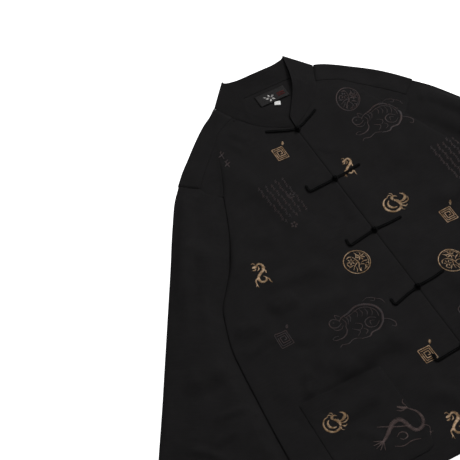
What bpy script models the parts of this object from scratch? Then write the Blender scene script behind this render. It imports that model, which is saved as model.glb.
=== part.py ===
"""Tang jacket laid flat, face up: a stand collar, two fronts that meet edge to edge, knot-and-loop
fastenings, patch pockets, and sleeves that lie beside the body and partly under it.

All lengths below are in millimetres of a flat plan: X runs to the wearer's left, Y toward the neck,
Z up from the table.  Points are moved to metres, and to the middle of the garment, as they are made.
"""
import math

import bmesh
import bpy
from mathutils import Vector
from mathutils.geometry import delaunay_2d_cdt, intersect_point_line

NAME = "tang_jacket"

# ---------------------------------------------------------------- driving dimensions
CLOTH = 1.3               # wall of every cut piece
GAP = 0.35                # air between two pieces at a seam or one on another
PITCH = CLOTH + GAP       # from the middle of one layer to the middle of the next
LAYER = [CLOTH / 2 + 0.02 + PITCH * k for k in range(4)]   # middle heights of stacked layers
HEM_CF = -545.0           # hem at the centre front
HEM_SIDE = -538.0         # hem at the side seams
COLLAR_TOP = 281.5        # highest point of the collar, at its side folds
FRONT_SLACK = 1.5         # how much higher than a laid layer the fronts stand off the back
SLEEVE_LENGTH = 610.0     # shoulder seam to cuff
SLEEVE_ANGLE = math.radians(31.4)   # sleeve's line from the body's own, laid down
MIDDLE_Y = (HEM_CF + COLLAR_TOP) / 2

BLACK_CLOTH = (0.0105, 0.0108, 0.0112)
BLACK_CORD = (0.0035, 0.0035, 0.0038)
LABEL_CLOTH = (0.055, 0.045, 0.045)
TAB_WHITE = (0.55, 0.55, 0.54)

# Shoulder fold, from the collar to the sleeve: x, y on the wearer's right, y on the left.
SHOULDER_FOLD = (
    (105.5, 243.0, 244.0), (120.0, 230.5, 237.5), (140.0, 216.5, 223.0), (160.0, 200.5, 207.0),
    (180.0, 183.0, 191.0), (200.0, 164.5, 173.5), (222.0, 144.5, 150.0), (243.0, 122.0, 124.0),
)
# Shoulder seam, set forward of the fold, from the neckline to the armhole: x, y.
FORWARD_SEAM = (
    (86.5, 206.5), (100.0, 202.0), (117.0, 194.0), (129.0, 187.0), (140.5, 173.5), (156.0, 158.0),
    (179.0, 136.0), (196.0, 118.5), (207.0, 106.5), (213.5, 98.0),
)
# Neckline seam, from the centre front round to the shoulder fold: x, y.
NECKLINE = (
    (0.0, 133.0), (9.0, 138.0), (27.0, 148.0), (44.0, 159.0), (58.0, 170.0), (70.0, 183.0),
    (80.0, 195.0), (86.5, 206.5), (93.0, 220.0), (99.0, 232.0), (103.5, 241.5),
)
NECK_CORNER = 7           # row of NECKLINE where the shoulder seam starts
BACK_NECK = 240.0         # back neck seam
BACK_NECK_HALF = 104.2    # its half width, to the shoulder fold
# Armhole seam that shows, from the shoulder fold down to the front's fold: x, y.
ARMHOLE = (
    (243.0, 122.0), (233.0, 112.0), (222.0, 104.5), (213.5, 98.0), (210.0, 86.5), (204.0, 78.5),
    (196.5, 70.5), (187.0, 63.0),
)
ARMHOLE_CORNER = 3        # row of ARMHOLE where the shoulder seam ends
# Body's edge over the sleeve, from the armhole down to the armpit, then the side seam: x, y.
BODY_EDGE = (
    (187.0, 63.0), (197.0, 37.0), (217.0, -10.0), (236.0, -45.0), (252.0, -72.0), (276.0, -103.0),
    (299.0, -132.0), (312.0, -164.0), (324.5, -203.0), (331.0, -243.0), (337.5, -308.0),
    (343.0, -366.0), (347.0, -423.0), (350.0, -480.0), (352.0, HEM_SIDE),
)
# Drag fold in the front, from the shoulder seam to the top of the body's edge: x, y.
DRAG_FOLD = (
    (140.5, 173.5), (149.0, 148.0), (157.5, 128.0), (166.0, 107.0), (177.0, 83.0), (187.0, 63.0),
)
# Sleeve, in its own frame: distance down it, its outer edge, its inner edge, both across it.
SLEEVE = (
    (30.0, -4.5, 82.0), (52.0, -5.0, 85.2), (76.0, -4.3, 89.5), (105.0, -3.5, 105.0),
    (140.0, -2.5, 124.0), (180.0, -2.0, 143.0), (220.0, -2.0, 160.0), (265.0, -2.0, 178.0),
    (315.0, -2.0, 194.0), (370.0, -2.0, 205.0), (430.0, -2.0, 208.5), (490.0, -2.6, 207.0),
    (550.0, -3.3, 203.5), (SLEEVE_LENGTH, -4.0, 200.0),
)
# Collar's top edge beside each row of NECKLINE, from the centre front to the side fold: x, y.
COLLAR_EDGE = (
    (1.0, 146.5), (3.0, 156.5), (13.0, 170.5), (24.5, 184.5), (35.0, 198.0), (43.0, 210.0),
    (49.0, 222.0), (53.0, 232.5), (57.0, 245.0), (61.0, 260.0),
)
COLLAR_FOLD = (102.8, 241.0, 66.4, COLLAR_TOP)   # side fold: foot x, y, then top x, y
# Back of the collar, from near the side fold to the middle: seam x, then top edge x, y.
COLLAR_BACK = (
    (94.0, 60.0, 278.2), (80.0, 51.0, 276.4), (60.0, 38.0, 274.6), (38.0, 24.0, 273.4),
    (18.0, 11.5, 272.7), (0.0, 0.0, 272.5),
)
COLLAR_RISE = (0.9, 1.6)  # how much higher its top edge lies than its seam: back, front
# Patch pocket: centre of its mouth, half width at the mouth and at the foot, depth, corner radius.
POCKET_MOUTH = (212.0, -352.0)
POCKET_HALF = (75.0, 78.0)
POCKET_DEPTH = 163.0
POCKET_CORNER = 20.0
# Fastenings down the centre front: y of the knot, then of the strips' ends on each side of it.
FROGS = (
    (127.0, 152.0, 152.0), (1.0, -1.0, 7.0), (-124.0, -131.0, -123.5), (-256.0, -268.0, -252.0),
    (-386.0, -390.0, -384.0),
)
FROG_REACH = 53.0         # centre front to the end of a strip
TOP_FROG = ((16.0, 7.0), (27.0, 13.0), (38.0, 18.5), (50.0, 25.0))   # its strips: x, rise from the knot
FROG_HOOK = 12.0          # upturned end of the strips on the wearer's right
HOOK_RADIUS = 3.6
KNOT_RISE = 2.5           # how much higher than its knot's middle a top strip starts
STRIP_HALF = (2.4, 1.25)  # half width and half height of a strip
KNOT_RADIUS = (5.6, 4.3)  # across and up
LABEL_SIZE = (60.0, 26.0, 0.6)
LABEL_CENTRE = (1.0, 217.0)
TAB_SIZE = (14.0, 13.0, 0.5)
TAB_CENTRE = (3.0, 194.0)
TAB_TURN = math.radians(-28.0)

# Rounded edge of a folded layer: how far in from the fold, and how high, from lower to upper.
ROUND_EDGE = (
    (0.9, LAYER[0]), (0.25, LAYER[0] + 0.26), (0.0, (LAYER[0] + LAYER[1]) / 2),
    (0.25, LAYER[1] - 0.26), (0.9, LAYER[1]),
)
# Front's edge, rolled down over the back's: how far in from the edge, and how far down.
EDGE_ROLL = ((0.0, 1.5), (0.7, 0.6), (2.4, 0.0))
BACK_INSET = 2.8          # back's edge from the front's, inside that roll
DRAG_STEP = 2.6           # plan width of the step at the drag fold
SEAM_HALF = 0.2           # from a seam's line to the cut edge on each side of it
SEAM_STATIONS = 9         # stations along the shoulder seam and the shoulder fold
SLEEVE_SLACK = 1.9        # how much higher the sleeve's upper layer bows where it is free

# Where the layers climb and settle, each as a distance at which it starts and the run that it takes.
BACK_CLIMB = (16.0, 14.0)      # the back, before the sleeve's inner edge
HEAD_CLIMB = (30.0, 40.0)      # the back, down the sleeve from its head
FRONT_CLIMB = (60.0, 50.0)     # the fronts, before the sleeve's inner edge
ARMHOLE_LEVEL = (15.0, 110.0)  # the part past the drag fold, from this far down the sleeve
SHOULDER_RUN = 70.0            # the fronts' rise from the shoulder fold
HEM_RUN = 40.0                 # the fronts' fall to the hem
SLACK_EDGE = (2.0, 26.0)       # the sleeve's bow, from its outer edge
SLACK_BODY = (6.0, 26.0)       # the same, from the body's edge
SLACK_HEAD = (22.0, 60.0)      # the same, down from its head
SLACK_CUFF = 70.0              # the same, up from the cuff

PANEL_GRID = 40.0         # spacing of a panel's inner points
PANEL_MARGIN = 14.0       # and their least distance from its edges and inner lines
FINE_STEP, PLAIN_STEP, WIDE_STEP = 13.0, 22.0, 32.0   # steps along outlines and inner lines

# ---------------------------------------------------------------- small helpers


def metres(x, y, z):
    return Vector((x, y - MIDDLE_Y, z)) * 0.001


def rise_over(reach, run):
    """0 before a climb, 1 past its run, and a soft curve between."""
    t = min(max(reach / run, 0.0), 1.0)
    return t * t * (3.0 - 2.0 * t)


def along(points, step):
    """Resamples a polyline through a rounded curve, with its corners kept as they are given."""
    result = [tuple(points[0])]
    for i in range(len(points) - 1):
        before = Vector(points[max(i - 1, 0)])
        start = Vector(points[i])
        end = Vector(points[i + 1])
        after = Vector(points[min(i + 2, len(points) - 1)])
        pieces = max(1, round((end - start).length / step))
        for k in range(1, pieces + 1):
            t = k / pieces
            curve = 0.5 * (2 * start + (end - before) * t
                           + (2 * before - 5 * start + 4 * end - after) * t * t
                           + (3 * start - before - 3 * end + after) * t ** 3)
            result.append(tuple(curve))
    return result


def read(table, x, column):
    """Straight-line reading of a table whose first column rises."""
    if x <= table[0][0]:
        return table[0][column]
    for low, high in zip(table, table[1:]):
        if x <= high[0]:
            t = (x - low[0]) / (high[0] - low[0])
            return low[column] + (high[column] - low[column]) * t
    return table[-1][column]


def distance(point, line):
    """Shortest distance from a plan point to a polyline."""
    best = 1e9
    target = Vector((point[0], point[1]))
    for a, b in zip(line, line[1:]):
        foot, t = intersect_point_line(target, Vector(a[:2]), Vector(b[:2]))
        if t < 0:
            foot = Vector((a[0], a[1]))
        elif t > 1:
            foot = Vector((b[0], b[1]))
        best = min(best, (target - Vector(foot[:2])).length)
    return best


def inside(point, loop):
    x, y = point
    result = False
    for (x0, y0), (x1, y1) in zip(loop, loop[1:] + loop[:1]):
        if (y0 > y) != (y1 > y) and x < (x1 - x0) * (y - y0) / (y1 - y0) + x0:
            result = not result
    return result


def offset(line, amount):
    """Moves a polyline sideways: to its left for a positive amount."""
    result = []
    for i, point in enumerate(line):
        before = Vector(line[max(i - 1, 0)])
        after = Vector(line[min(i + 1, len(line) - 1)])
        run = (after - before).normalized()
        result.append((point[0] - run.y * amount, point[1] + run.x * amount))
    return result


def mirrored(line, side):
    return [(side * p[0], p[1]) for p in line]


# ---------------------------------------------------------------- how high the layers lie
SLEEVE_RUN = Vector((math.sin(SLEEVE_ANGLE), -math.cos(SLEEVE_ANGLE)))
SLEEVE_IN = Vector((-math.cos(SLEEVE_ANGLE), -math.sin(SLEEVE_ANGLE)))
SLEEVE_START = Vector(ARMHOLE[0])


def sleeve_frame(x, y):
    """Distance down the sleeve, and in from its outer edge, of a plan point on either side."""
    arm = Vector((abs(x), y)) - SLEEVE_START
    return arm.dot(SLEEVE_RUN), arm.dot(SLEEVE_IN)


def shoulder_line(side):
    column = 1 if side < 0 else 2
    return [(row[0], row[column]) for row in SHOULDER_FOLD]


def over_sleeve(x, y):
    """How far a plan point lies out over the sleeve, past the sleeve's inner edge."""
    down, across = sleeve_frame(x, y)
    return read(SLEEVE, down, 2) - across


def back_height(x, y):
    """The back lies on the table, and climbs over the sleeves."""
    down = sleeve_frame(x, y)[0]
    climb = rise_over(over_sleeve(x, y) + BACK_CLIMB[0], BACK_CLIMB[1])
    climb *= rise_over(down - HEAD_CLIMB[0], HEAD_CLIMB[1])
    return LAYER[0] + (LAYER[2] - LAYER[0]) * climb


def top_height(x, y, beyond_fold):
    """The upper layer: the fronts, and the back's strip in front of the shoulder fold."""
    shoulder = shoulder_line(math.copysign(1, x))
    high = LAYER[1] + FRONT_SLACK
    high += (LAYER[3] - high) * rise_over(over_sleeve(x, y) + FRONT_CLIMB[0], FRONT_CLIMB[1])
    rise = rise_over(distance((abs(x), y), shoulder), SHOULDER_RUN)
    height = LAYER[1] + (high - LAYER[1]) * rise
    if beyond_fold:
        down = sleeve_frame(x, y)[0]
        height = LAYER[1] + (height - LAYER[1]) * rise_over(ARMHOLE_LEVEL[0] - down, ARMHOLE_LEVEL[1])
    return height - FRONT_SLACK * (1.0 - rise_over(y - HEM_SIDE, HEM_RUN)) * rise


BODY_LINE = along(BODY_EDGE, PLAIN_STEP)


# ---------------------------------------------------------------- objects and materials


def clear_scene():
    for thing in list(bpy.data.objects):
        bpy.data.objects.remove(thing)
    collection = bpy.data.collections.new(NAME)
    bpy.context.scene.collection.children.link(collection)
    return collection


def material(name, colour, roughness):
    made = bpy.data.materials.new(name)
    made.use_nodes = True
    shader = made.node_tree.nodes["Principled BSDF"]
    shader.inputs["Base Color"].default_value = (*colour, 1.0)
    shader.inputs["Roughness"].default_value = roughness
    shader.inputs["Metallic"].default_value = 0.0
    return made


def add_object(name, mesh_data, colour, roughness=0.85):
    thing = bpy.data.objects.new(name, mesh_data)
    bpy.data.collections[NAME].objects.link(thing)
    mesh_data.materials.append(material(name, colour, roughness))
    return thing


def sheet_object(name, bm, colour, wall=CLOTH):
    """An open surface becomes a cloth wall, half its thickness each way."""
    bmesh.ops.remove_doubles(bm, verts=bm.verts, dist=1e-6)
    bmesh.ops.recalc_face_normals(bm, faces=bm.faces)
    mesh_data = bpy.data.meshes.new(name)
    bm.to_mesh(mesh_data)
    bm.free()
    mesh_data.shade_smooth()
    thing = add_object(name, mesh_data, colour)
    solid = thing.modifiers.new("wall", "SOLIDIFY")
    solid.thickness = wall * 0.001
    solid.offset = 0.0
    solid.use_even_offset = True
    solid.use_rim = True
    return thing


def flat_panel(outline, lines):
    """Triangulates a plan outline with its inner lines and a staggered grid of points."""
    points = [Vector(p) for p in outline]
    face = list(range(len(points)))
    edges = []
    for line in lines:
        start = len(points)
        points += [Vector(p) for p in line]
        edges += [(start + k, start + k + 1) for k in range(len(line) - 1)]
    low_x, high_x = min(p[0] for p in outline), max(p[0] for p in outline)
    low_y, high_y = min(p[1] for p in outline), max(p[1] for p in outline)
    barriers = [outline + outline[:1]] + list(lines)
    row = 0
    y = low_y + PANEL_GRID / 2
    while y < high_y:
        x = low_x + PANEL_GRID * (0.5 if row % 2 else 1.0)
        while x < high_x:
            if inside((x, y), outline) and min(distance((x, y), b) for b in barriers) > PANEL_MARGIN:
                points.append(Vector((x, y)))
            x += PANEL_GRID
        y += PANEL_GRID * math.sqrt(3) / 2
        row += 1
    verts, _, faces, _, _, _ = delaunay_2d_cdt(points, edges, [face], 1, 1e-5)
    return [tuple(v) for v in verts], [tuple(f) for f in faces]


def lift(bm, verts, faces, height):
    """Adds a flat panel's triangles at the heights that a function gives."""
    made = [bm.verts.new(metres(x, y, height(x, y))) for x, y in verts]
    for face in faces:
        bm.faces.new([made[k] for k in face])
    return made


def add_grid(bm, rows, closed=False):
    """Quads between rows of points; a closed row joins its last point to its first."""
    made = [[bm.verts.new(metres(*p)) for p in row] for row in rows]
    for low, high in zip(made, made[1:]):
        count = len(low)
        for k in range(count if closed else count - 1):
            n = (k + 1) % count
            bm.faces.new((low[k], low[n], high[n], high[k]))
    return made


# ---------------------------------------------------------------- body panels


def resample(line, count):
    """Points at equal steps along a polyline."""
    lengths = [0.0]
    for a, b in zip(line, line[1:]):
        lengths.append(lengths[-1] + (Vector(b) - Vector(a)).length)
    table = [(d, *p) for d, p in zip(lengths, line)]
    stations = [lengths[-1] * k / (count - 1) for k in range(count)]
    return [(read(table, d, 1), read(table, d, 2)) for d in stations]


def body_edge(inward):
    """Body's edge over the sleeve, closely stepped where the back climbs on and off the sleeve."""
    line = along(BODY_EDGE[:4], FINE_STEP)[:-1] + along(BODY_EDGE[3:12], WIDE_STEP)[:-1]
    line = offset(line + along(BODY_EDGE[11:], FINE_STEP), -inward)
    return line[:-1] + [(line[-1][0], hem_line(line[-1][0]))]


def hem_line(x):
    return read(((0.0, HEM_CF), (BODY_EDGE[-1][0], HEM_SIDE)), abs(x), 1)


def hem(start):
    """Hem points from a given distance out back to the centre front, which is left out."""
    return [(start * k / 11, hem_line(start * k / 11)) for k in range(10, 0, -1)]


def crossing(spot, run_a, shift_a, run_b, shift_b):
    """Where two lines through a plan point cross once each is moved to its own left."""
    a, b = Vector(run_a).normalized(), Vector(run_b).normalized()
    determinant = a.x * b.y - a.y * b.x
    move = (shift_a * b - shift_b * a) / determinant
    return (spot[0] + move.x, spot[1] + move.y)


def run_at(line, k):
    return Vector(line[min(k + 1, len(line) - 1)]) - Vector(line[max(k - 1, 0)])


def seam_points(forward):
    """Shoulder seam at stations that both of its pieces share, moved off it to their own side.

    It starts clear of the neckline and ends clear of the armhole.
    """
    line = resample(along(FORWARD_SEAM, PLAIN_STEP), SEAM_STATIONS)
    shift = -SEAM_HALF if forward else SEAM_HALF
    points = offset(line, shift)
    points[0] = crossing(NECKLINE[NECK_CORNER], run_at(line, 0), shift,
                         run_at(NECKLINE, NECK_CORNER), -SEAM_HALF)
    points[-1] = crossing(ARMHOLE[ARMHOLE_CORNER], run_at(line, SEAM_STATIONS - 1), shift,
                          run_at(ARMHOLE, ARMHOLE_CORNER), -SEAM_HALF)
    return points


def sleeve_line(past):
    """A line on the body that follows the sleeve's hidden inner edge, some way past it."""
    line = []
    for down, _, inner in SLEEVE[2:-1]:
        spot = SLEEVE_START + SLEEVE_RUN * down + SLEEVE_IN * (inner + past)
        line.append((spot.x, spot.y))
    outline = [(0.0, HEM_CF), (0.0, BACK_NECK)] + body_edge(BACK_INSET + 0.5)
    return [p for p in along(line, FINE_STEP) if inside(p, outline)]


def shoulder_fold(side):
    return resample(along(shoulder_line(side), PLAIN_STEP), SEAM_STATIONS)


def shoulder_strip(side):
    """Rows from the back's edge round the shoulder fold and down to the forward seam."""
    fold = shoulder_fold(side)
    seam = seam_points(False)
    neck = offset(NECKLINE, -SEAM_HALF)[:NECK_CORNER:-1]
    arm = offset(ARMHOLE, -SEAM_HALF)
    rows = []
    for inward, height in ROUND_EDGE:
        rows.append([(side * x, y, height) for x, y in offset(fold, -inward)])
    top = offset(fold, -ROUND_EDGE[-1][0])
    for k in (1, 2, 3):
        row = []
        for (fx, fy), (sx, sy) in zip(top, seam):
            row.append((fx + (sx - fx) * k / 3, fy + (sy - fy) * k / 3))
        if k < 3:
            row[0] = neck[k]
            row[-1] = arm[k]
        rows.append([(side * x, y, top_height(side * x, y, True)) for x, y in row])
    return rows


def build_back():
    """Back panel, with its strip folded forward over each shoulder to the shoulder seam."""
    neck = [(BACK_NECK_HALF * k / 5, BACK_NECK - GAP) for k in range(1, 6)]
    armhole = offset(ARMHOLE, -SEAM_HALF)[1:-1]
    edge = body_edge(BACK_INSET)
    loop = []
    for side in (-1, 1):
        fold = offset(shoulder_fold(side), -ROUND_EDGE[0][0])
        half = mirrored([*neck, *fold, *armhole, *edge, *hem(edge[-1][0])], side)
        loop += half[::-1] + [(0.0, BACK_NECK - GAP)] if side < 0 else half + [(0.0, HEM_CF)]
    lines = [mirrored(sleeve_line(past), side) for past in (2.0, 16.0) for side in (-1, 1)]
    verts, faces = flat_panel(loop, lines)
    bm = bmesh.new()
    lift(bm, verts, faces, back_height)
    for side in (-1, 1):
        add_grid(bm, shoulder_strip(side))
    sheet_object("back", bm, BLACK_CLOTH)


def pocket_outline():
    """Plan outline of the pocket on the wearer's left, with its lower corners rounded."""
    x, y = POCKET_MOUTH
    top, foot = POCKET_HALF
    outline = [(x - top, y), (x + top, y)]
    for sign, first in ((1, 0.0), (-1, -90.0)):
        centre = (x + sign * (foot - POCKET_CORNER), y - POCKET_DEPTH + POCKET_CORNER)
        for k in range(4):
            angle = math.radians(first - 30.0 * k)
            outline.append((centre[0] + POCKET_CORNER * math.cos(angle),
                            centre[1] + POCKET_CORNER * math.sin(angle)))
    return outline


def past_drag_fold(x, y):
    """Signed distance out past the drag fold, or 0 where a plan point is not beside it."""
    if y < DRAG_FOLD[-1][1]:
        return 0.0
    spot = Vector((abs(x), y))
    best = None
    for a, b in zip(DRAG_FOLD, DRAG_FOLD[1:]):
        start, run = Vector(a), Vector(b) - Vector(a)
        t = min(max((spot - start).dot(run) / run.length_squared, 0.0), 1.0)
        gap = spot - start - run * t
        if best is None or gap.length < abs(best):
            best = math.copysign(gap.length, gap.x * -run.y + gap.y * run.x)
    return best


def front_height(x, y):
    """Front's height: a step down past the drag fold, and an edge that rolls over the sleeve."""
    step = min(max(past_drag_fold(x, y) / DRAG_STEP, 0.0), 1.0)
    height = top_height(x, y, False)
    if step > 0.0:
        height += (top_height(x, y, True) - height) * step
    to_edge = distance((abs(x), y), BODY_LINE)
    return height - read(EDGE_ROLL, to_edge, 1) * (1.0 - step)


def build_front(side, name, pocket_name):
    """One front, and the pocket that is made from the front's own points, moved out."""
    neckline = offset(NECKLINE, -SEAM_HALF)[:NECK_CORNER]
    neckline[0] = (GAP / 2, NECKLINE[0][1] - SEAM_HALF)
    seam = seam_points(True)
    armhole = offset(ARMHOLE, -SEAM_HALF)[ARMHOLE_CORNER + 1:-1]
    rolls = [body_edge(row[0]) for row in EDGE_ROLL]
    corner = [line[-1] for line in rolls[1:]]
    centre = [(GAP / 2, HEM_CF + (NECKLINE[0][1] - HEM_CF) * k / 12) for k in range(12)]
    outline = [*neckline, *seam, *armhole, *rolls[0], *corner, *hem(corner[-1][0]), *centre]
    pocket = pocket_outline()
    drag = along(DRAG_FOLD, PLAIN_STEP)
    lines = [drag[1:-1], offset(drag, DRAG_STEP)[1:-1], sleeve_line(12.0), sleeve_line(60.0),
             pocket + pocket[:1]]
    lines += [line[1:] for line in rolls[1:]]
    verts, faces = flat_panel(outline, lines)
    for object_name, raise_by, keep in ((name, 0.0, None), (pocket_name, PITCH, pocket)):
        chosen = faces
        if keep:
            chosen = [f for f in faces if inside(middle(verts, f), keep)]
        used = sorted({k for f in chosen for k in f})
        bm = bmesh.new()
        made = {}
        for k in used:
            x, y = side * verts[k][0], verts[k][1]
            made[k] = bm.verts.new(metres(x, y, front_height(x, y) + raise_by))
        for face in chosen:
            bm.faces.new([made[k] for k in face])
        sheet_object(object_name, bm, BLACK_CLOTH)


def middle(verts, face):
    return (sum(verts[k][0] for k in face) / len(face), sum(verts[k][1] for k in face) / len(face))


# ---------------------------------------------------------------- sleeves and collar


def sleeve_slack(down, across):
    """Extra height of the sleeve's upper layer, where nothing lies on it."""
    body = [(d, a) for d, a in (sleeve_frame(*p) for p in BODY_EDGE)]
    free = rise_over(across - SLACK_EDGE[0], SLACK_EDGE[1])
    free *= rise_over(read(body, down, 1) - SLACK_BODY[0] - across, SLACK_BODY[1])
    free *= rise_over(down - SLACK_HEAD[0], SLACK_HEAD[1])
    return SLEEVE_SLACK * free * rise_over(SLEEVE_LENGTH - down, SLACK_CUFF)


def build_sleeve(side, name):
    """A tube laid flat, cut to the armhole at its head."""
    head = [(a, d) for d, a in (sleeve_frame(*p) for p in offset(ARMHOLE, SEAM_HALF))]
    parts = [a / head[-1][0] for a, d in head[1:-1]]
    rows = []
    for k, (down, outer, inner) in enumerate(((0.0, 0.0, head[-1][0] + 1.4),) + SLEEVE):
        ring = []
        reach = ROUND_EDGE[0][0]
        steps = [outer + (inner - outer) * part for part in parts]
        steps = [outer + reach, *steps, inner - reach]
        for across in steps:
            ring.append((across, LAYER[1] + (sleeve_slack(down, across) if k else 0.0)))
        ring += [(inner - inward, height) for inward, height in ROUND_EDGE[3:0:-1]]
        ring += [(across, LAYER[0]) for across in steps[::-1]]
        ring += [(outer + inward, height) for inward, height in ROUND_EDGE[1:4]]
        row = []
        for across, height in ring:
            along_sleeve = down if k else read(head, across, 1)
            spot = SLEEVE_START + SLEEVE_RUN * along_sleeve + SLEEVE_IN * across
            row.append((side * spot.x, spot.y, height))
        rows.append(row)
    bm = bmesh.new()
    add_grid(bm, rows, closed=True)
    sheet_object(name, bm, BLACK_CLOTH)


def collar_half(side):
    """Stations of half the collar: seam point, top edge point and their heights."""
    stations = []
    seam = offset(NECKLINE, SEAM_HALF)[:-1]
    seam[0] = (1.0, NECKLINE[0][1] + 0.6)
    for (sx, sy), (ex, ey) in zip(seam, COLLAR_EDGE):
        height = top_height(side * sx, sy, True)
        stations.append((sx, sy, height, ex, ey, height + COLLAR_RISE[1]))
    foot_x, foot_y, top_x, top_y = COLLAR_FOLD
    out = Vector((top_y - foot_y, foot_x - top_x)).normalized()
    low = (LAYER[0], LAYER[0] + COLLAR_RISE[0])
    high = (LAYER[1], LAYER[1] + COLLAR_RISE[1])
    for angle in (90.0, 45.0, 0.0, -45.0, -90.0):
        station = []
        for x, y, bottom, top in ((foot_x, foot_y, low[0], high[0]), (top_x, top_y, low[1], high[1])):
            radius = (top - bottom) / 2
            shift = radius * (math.cos(math.radians(angle)) - 1.0)
            height = (top + bottom) / 2 + radius * math.sin(math.radians(angle))
            station += [x + out.x * shift, y + out.y * shift, height]
        stations.append(tuple(station))
    for seam_x, edge_x, edge_y in COLLAR_BACK:
        stations.append((seam_x, BACK_NECK + 0.1, low[0], edge_x, edge_y, low[1]))
    return [(side * a, b, c, side * d, e, f) for a, b, c, d, e, f in stations]


def build_collar():
    """Stand collar: one band from front end to front end, laid flat with a fold at each side."""
    stations = collar_half(-1)[:-1] + collar_half(1)[::-1]
    rows = []
    for sx, sy, sz, ex, ey, ez in stations:
        row = []
        for t in (0.0, 0.3, 0.65, 1.0):
            bulge = 0.5 * math.sin(math.pi * t) * (1.0 if ez > LAYER[1] else 0.0)
            row.append((sx + (ex - sx) * t, sy + (ey - sy) * t, sz + (ez - sz) * t + bulge))
        rows.append(row)
    bm = bmesh.new()
    add_grid(bm, rows)
    sheet_object("collar", bm, BLACK_CLOTH)


# ---------------------------------------------------------------- fastenings and labels


def sweep(name, path, colour):
    """A strip with an oval section along a path of plan points with heights."""
    bm = bmesh.new()
    wide, tall = STRIP_HALF
    rings = []
    for i, (x, y, z) in enumerate(path):
        before = Vector(path[max(i - 1, 0)][:2])
        after = Vector(path[min(i + 1, len(path) - 1)][:2])
        run = (after - before).normalized()
        ring = []
        for k in range(8):
            angle = math.tau * k / 8
            out = wide * math.cos(angle)
            ring.append(bm.verts.new(metres(x - run.y * out, y + run.x * out,
                                            z + tall * math.sin(angle))))
        rings.append(ring)
    for low, high in zip(rings, rings[1:]):
        for k in range(8):
            n = (k + 1) % 8
            bm.faces.new((low[k], low[n], high[n], high[k]))
    bm.faces.new(rings[0][::-1])
    bm.faces.new(rings[-1])
    bmesh.ops.recalc_face_normals(bm, faces=bm.faces)
    mesh_data = bpy.data.meshes.new(name)
    bm.to_mesh(mesh_data)
    bm.free()
    mesh_data.shade_smooth()
    mesh_data.set_sharp_from_angle(angle=math.radians(50))
    add_object(name, mesh_data, colour)


def strip_path(side, knot_y, end_y, first):
    """Plan points of one strip, from beside the knot to its end."""
    start = KNOT_RADIUS[0] + GAP + 0.2
    if first:
        plan = [(start, knot_y + KNOT_RISE)] + [(x, knot_y + rise) for x, rise in TOP_FROG]
    else:
        plan = [(start + (FROG_REACH - start) * k / 4, knot_y + (end_y - knot_y) * k / 4)
                for k in range(5)]
        if side < 0:
            turn = (FROG_REACH - HOOK_RADIUS, end_y + HOOK_RADIUS)
            plan[-1] = (turn[0], end_y)
            plan += [(turn[0] + HOOK_RADIUS * 0.7, turn[1] - HOOK_RADIUS * 0.7),
                     (FROG_REACH, turn[1]), (FROG_REACH, end_y + FROG_HOOK)]
    rest = CLOTH / 2 + GAP + STRIP_HALF[1]
    return [(side * x, y, front_height(side * x, y) + rest) for x, y in plan]


def build_frog(number, knot_y, right_end, left_end):
    """A knot on the centre front, with a strip out to each side of it."""
    first = number == 1
    sweep(f"frog_{number}_right", strip_path(-1, knot_y, right_end, first), BLACK_CORD)
    sweep(f"frog_{number}_left", strip_path(1, knot_y, left_end, first), BLACK_CORD)
    wide, tall = KNOT_RADIUS
    bm = bmesh.new()
    bmesh.ops.create_uvsphere(bm, u_segments=12, v_segments=8, radius=wide * 0.001)
    bmesh.ops.scale(bm, vec=(1.0, 1.0, tall / wide), verts=bm.verts)
    mesh_data = bpy.data.meshes.new(f"frog_{number}_knot")
    bm.to_mesh(mesh_data)
    bm.free()
    mesh_data.shade_smooth()
    knot = add_object(f"frog_{number}_knot", mesh_data, BLACK_CORD)
    rest = front_height(0.3, knot_y - 1.0) + CLOTH / 2 + GAP + tall
    knot.location = metres(0.0, knot_y, rest)


def build_tag(name, size, centre, turn, colour):
    """A small woven label inside the back of the neck."""
    length, width, wall = size
    bm = bmesh.new()
    bmesh.ops.create_cube(bm, size=1.0)
    bmesh.ops.scale(bm, vec=(length * 0.001, width * 0.001, wall * 0.001), verts=bm.verts)
    mesh_data = bpy.data.meshes.new(name)
    bm.to_mesh(mesh_data)
    bm.free()
    thing = add_object(name, mesh_data, colour)
    thing.location = metres(centre[0], centre[1], LAYER[0] + CLOTH / 2 + GAP + wall / 2)
    thing.rotation_euler = (0.0, 0.0, turn)


def main():
    clear_scene()
    build_back()
    build_front(-1, "front_right", "pocket_right")
    build_front(1, "front_left", "pocket_left")
    build_sleeve(-1, "sleeve_right")
    build_sleeve(1, "sleeve_left")
    build_collar()
    for number, row in enumerate(FROGS, start=1):
        build_frog(number, *row)
    build_tag("label", LABEL_SIZE, LABEL_CENTRE, 0.0, LABEL_CLOTH)
    build_tag("size_tab", TAB_SIZE, TAB_CENTRE, TAB_TURN, TAB_WHITE)


main()
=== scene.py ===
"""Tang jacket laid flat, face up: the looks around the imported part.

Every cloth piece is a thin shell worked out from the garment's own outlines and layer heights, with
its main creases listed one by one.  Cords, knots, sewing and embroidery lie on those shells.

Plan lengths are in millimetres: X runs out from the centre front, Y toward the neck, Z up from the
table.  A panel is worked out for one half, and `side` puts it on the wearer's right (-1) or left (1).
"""
import math

import bmesh
import bpy
import numpy as np
from bpy.props import FloatProperty, FloatVectorProperty, PointerProperty
from bpy.types import Operator, Panel, PropertyGroup
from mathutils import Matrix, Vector
from mathutils.bvhtree import BVHTree
from mathutils.geometry import delaunay_2d_cdt
from mathutils.kdtree import KDTree

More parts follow.
